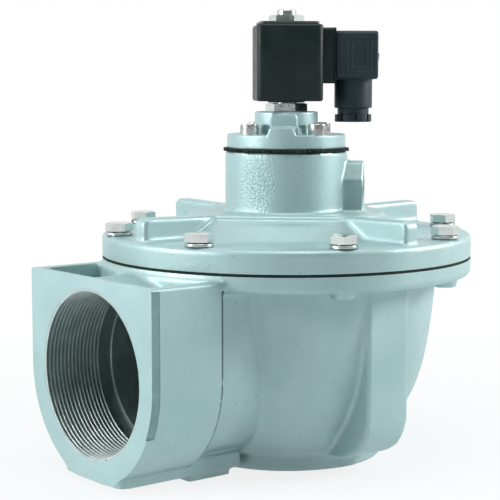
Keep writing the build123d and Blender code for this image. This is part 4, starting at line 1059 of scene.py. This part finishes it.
# The guide tube: stainless steel, with the hexagon that screws it down on the cap. The coil slides over
# it, and the fixed core's threaded stud closes its top.
tube_r = 6.5
tube_bore_r = 5.6
tube_low = 186.6
tube_top = 236.0
tube_flats = 20.0
tube_hex_top = 193.9
stud_r = 5.2
stud_crest_r = 5.62
stainless = metal("stainless_steel", (0.58, 0.64, 0.63), (0.70, 0.76, 0.75), 0.16, marks=0.02)
tube_hex = placed(hexagon(tube_flats, cap_top, tube_hex_top, 0.6), turn(75))
tube_wall = drilled(tube_r, tube_low, tube_top, [(0, 0)], 96)
core_tube = piece("guide_tube", together([tube_hex, tube_wall]), stainless)
bored(core_tube, drilled(tube_bore_r, 186, tube_top + 1, [(0, 0)], 96))
fitted(core_tube, "root", "stainless", "core_tube")
finished(stainless, "fixed_core", "plunger")
ridges = [
    turned([(stud_r, z - 0.35), (stud_crest_r, z), (stud_r, z + 0.35)], 64)
    for z in (239, 240, 241, 242, 243, 244)
]
fitted(piece("stud_thread", together(ridges), stainless), "root", "stainless")
copper = metal("bare_copper", (0.55, 0.22, 0.12), (0.75, 0.36, 0.2), 0.3)
finished(copper, "shading_ring")

# The coil: winding and yoke moulded into one block of black resin, with softly rounded edges, a collar
# below and the pedestal for the connector. A steel plate and a thin nut hold it on the tube.
coil_back = -17.5
coil_front = 18.4
coil_half = 19.0
coil_low = 195.0
coil_top = 236.4
coil_bore_r = 6.55
collar_r = 10.2
collar_low = 194.2
yoke_top = 238.0
nut_flats = 17.0
nut_low = 238.3
nut_high = 241.8
nut_bore_r = 5.4
seal_half_width = 13.0
seal_half_height = 15.1
pedestal_out = 24.5
to_connector = turn(145.4)


def resin(name, low, high, roughness):
    """Moulded resin: satin, with a fine spark-eroded grain and clouds of tone."""
    finish, shader, place = new_finish(name, 0, roughness)
    shader.inputs["Specular IOR Level"].default_value = 0.27
    tree = finish.node_tree
    tree.links.new(clouds(finish, place, 60, 4, low, high), shader.inputs["Base Color"])
    gloss = clouds(finish, place, 120, 4, grey(roughness - 0.06), grey(roughness + 0.08))
    tree.links.new(gloss, shader.inputs["Roughness"])
    relief(finish, shader, [(clouds(finish, place, 1400, 2), 0.25)])
    return finish


def moulded(x0, x1, half, corner, low, high, edge):
    """A block with rounded upright corners, and its top and bottom edges rounded."""
    outline = rounded([(x0, -half, corner), (x1, -half, corner), (x1, half, corner), (x0, half, corner)], 6)
    bm = pressed(outline, low, high)
    return eased(bm, edge, 4, lambda e: abs(e.verts[0].co.z - e.verts[1].co.z) < 0.001)


coil_resin = resin("coil_resin", (0.005, 0.012, 0.012), (0.010, 0.019, 0.019), 0.42)
pedestal = Matrix.Translation((0, 0, 219.7)) @ facing
coil_block = moulded(coil_back, coil_front, coil_half, 3, coil_low, coil_top, 1.4)
collar = turned(rounded([
    (6.6, collar_low), (collar_r, collar_low, 0.3), (collar_r, coil_low + 1), (6.6, coil_low + 1),
]), 96)
pedestal_block = moulded(-seal_half_width, seal_half_width, seal_half_height, 2, 15, pedestal_out, 0.4)
placed(pedestal_block, pedestal)
coil = piece("coil_block", together([coil_block, collar]), coil_resin)
bored(coil, drilled(coil_bore_r, 193, 237, [(0, 0)], 96))
coil.data.transform(to_connector)
fitted(coil, "coil", "coil_plastic", "coil")
pedestal_piece = piece("coil_pedestal", placed(pedestal_block, to_connector), coil_resin)
fitted(pedestal_piece, "coil", "coil_plastic")
dark_steel = metal("dark_steel", (0.05, 0.07, 0.07), (0.11, 0.13, 0.13), 0.45, 0.6)
plate = moulded(-15.5, 16.5, 16, 2, coil_top, yoke_top, 0.3)
plate = piece("yoke_plate", placed(plate, to_connector), dark_steel)
bored(plate, drilled(coil_bore_r, 235, 240, [(0, 0)], 96))
fitted(plate, "coil", "zinc_steel", "coil_top_plate")
nut = placed(hexagon(nut_flats, nut_low, nut_high, 0.9), turn(75))
nut = piece("coil_nut_hexagon", nut, bright_zinc)
bored(nut, drilled(nut_bore_r, 238, 243, [(0, 0)], 96))
fitted(nut, "root", "zinc_steel", "coil_nut")

# The connector: a flat rubber gasket, the grey contact carrier with its blades, and a dark nylon housing
# with a sunk panel on each side. Its gland grips the cable with a rubber ring under a castellated nut.
gland_u = 37.1
housing_half = 13.5
housing_in = 26.0
housing_out = 49.0
neck_r = 10.4
neck_low = 191.2
spigot_r = 8.6
spigot_low = 185.8
gland_bore_r = 7.4
gland_nut_r = 10.1
gland_nut_low = 183.6
gland_nut_high = 187.7
gland_hole_r = 5.5
nylon = resin("connector_nylon", (0.013, 0.025, 0.031), (0.021, 0.036, 0.043), 0.42)
seal = moulded(-seal_half_width, seal_half_width, seal_half_height, 2, pedestal_out, housing_in, 0.2)
gasket = piece("connector_seal", placed(seal, to_connector @ pedestal), black_rubber)
bored(gasket, placed(slab(20, 30, -9.6, 9.6, 211, 229), to_connector))
fitted(gasket, "coil", "rubber", "connector_gasket")
shell = moulded(-housing_half, housing_half, 13.1, 2.5, housing_in, housing_out, 1.2)
shell = piece("shell", placed(shell, Matrix.Translation((0, 0, 220)) @ facing))
side_recesses = (
    (32.5, 45.5, 211, 229, 0.6),
    (34.6, 43.4, 213, 227, 0.9),
    (29.3, 30.1, 209, 231, 0.3),
)
for side in (-1, 1):
    for x0, x1, low, high, depth in side_recesses:
        near_y, far_y = sorted((side * (housing_half - depth), side * (housing_half + 0.5)))
        bored(shell, slab(x0, x1, near_y, far_y, low, high))
sleeve = turned(rounded([
    (0, spigot_low), (spigot_r, spigot_low, 0.3), (spigot_r, neck_low), (neck_r, neck_low, 0.5),
    (neck_r, 212), (0, 212),
]), 96)
to_gland = Matrix.Translation((gland_u, 0, 0))
shapes = [loose(shell), placed(sleeve, to_gland)]
housing = cast("connector_shell", shapes, grain=0.25, melt=1, crease=2, most=30000, finish=nylon)
bored(housing, slab(25, 46.6, -11.1, 11.1, 209.3, 230.7))
bored(housing, drilled(gland_bore_r, 185, 212, [(gland_u, 0)], 96))
housing.data.transform(to_connector)
fitted(housing, "coil", "connector_plastic", "connector_housing")
nut = piece("gland_nut_ring", turned(rounded([
    (gland_hole_r, gland_nut_low), (gland_nut_r, gland_nut_low, 0.4), (gland_nut_r, gland_nut_high, 0.3),
    (spigot_r, gland_nut_high), (spigot_r, 185.0), (gland_hole_r, 185.0),
]), 96), nylon)
for k in range(8):
    bored(nut, placed(slab(9.0, 11, -0.7, 0.7, 183, 188), Matrix.Rotation(math.pi / 4 * k, 4, "Z")))
nut.data.transform(to_connector @ Matrix.Translation((gland_u * MM, 0, 0)))
fitted(nut, "coil", "connector_plastic", "gland_nut")
finished(resin("carrier_nylon", (0.10, 0.10, 0.105), (0.16, 0.16, 0.165), 0.45), "connector_insert")
finished(metal("tinned_brass", (0.62, 0.58, 0.44), (0.78, 0.74, 0.60), 0.3), "terminal_blades")
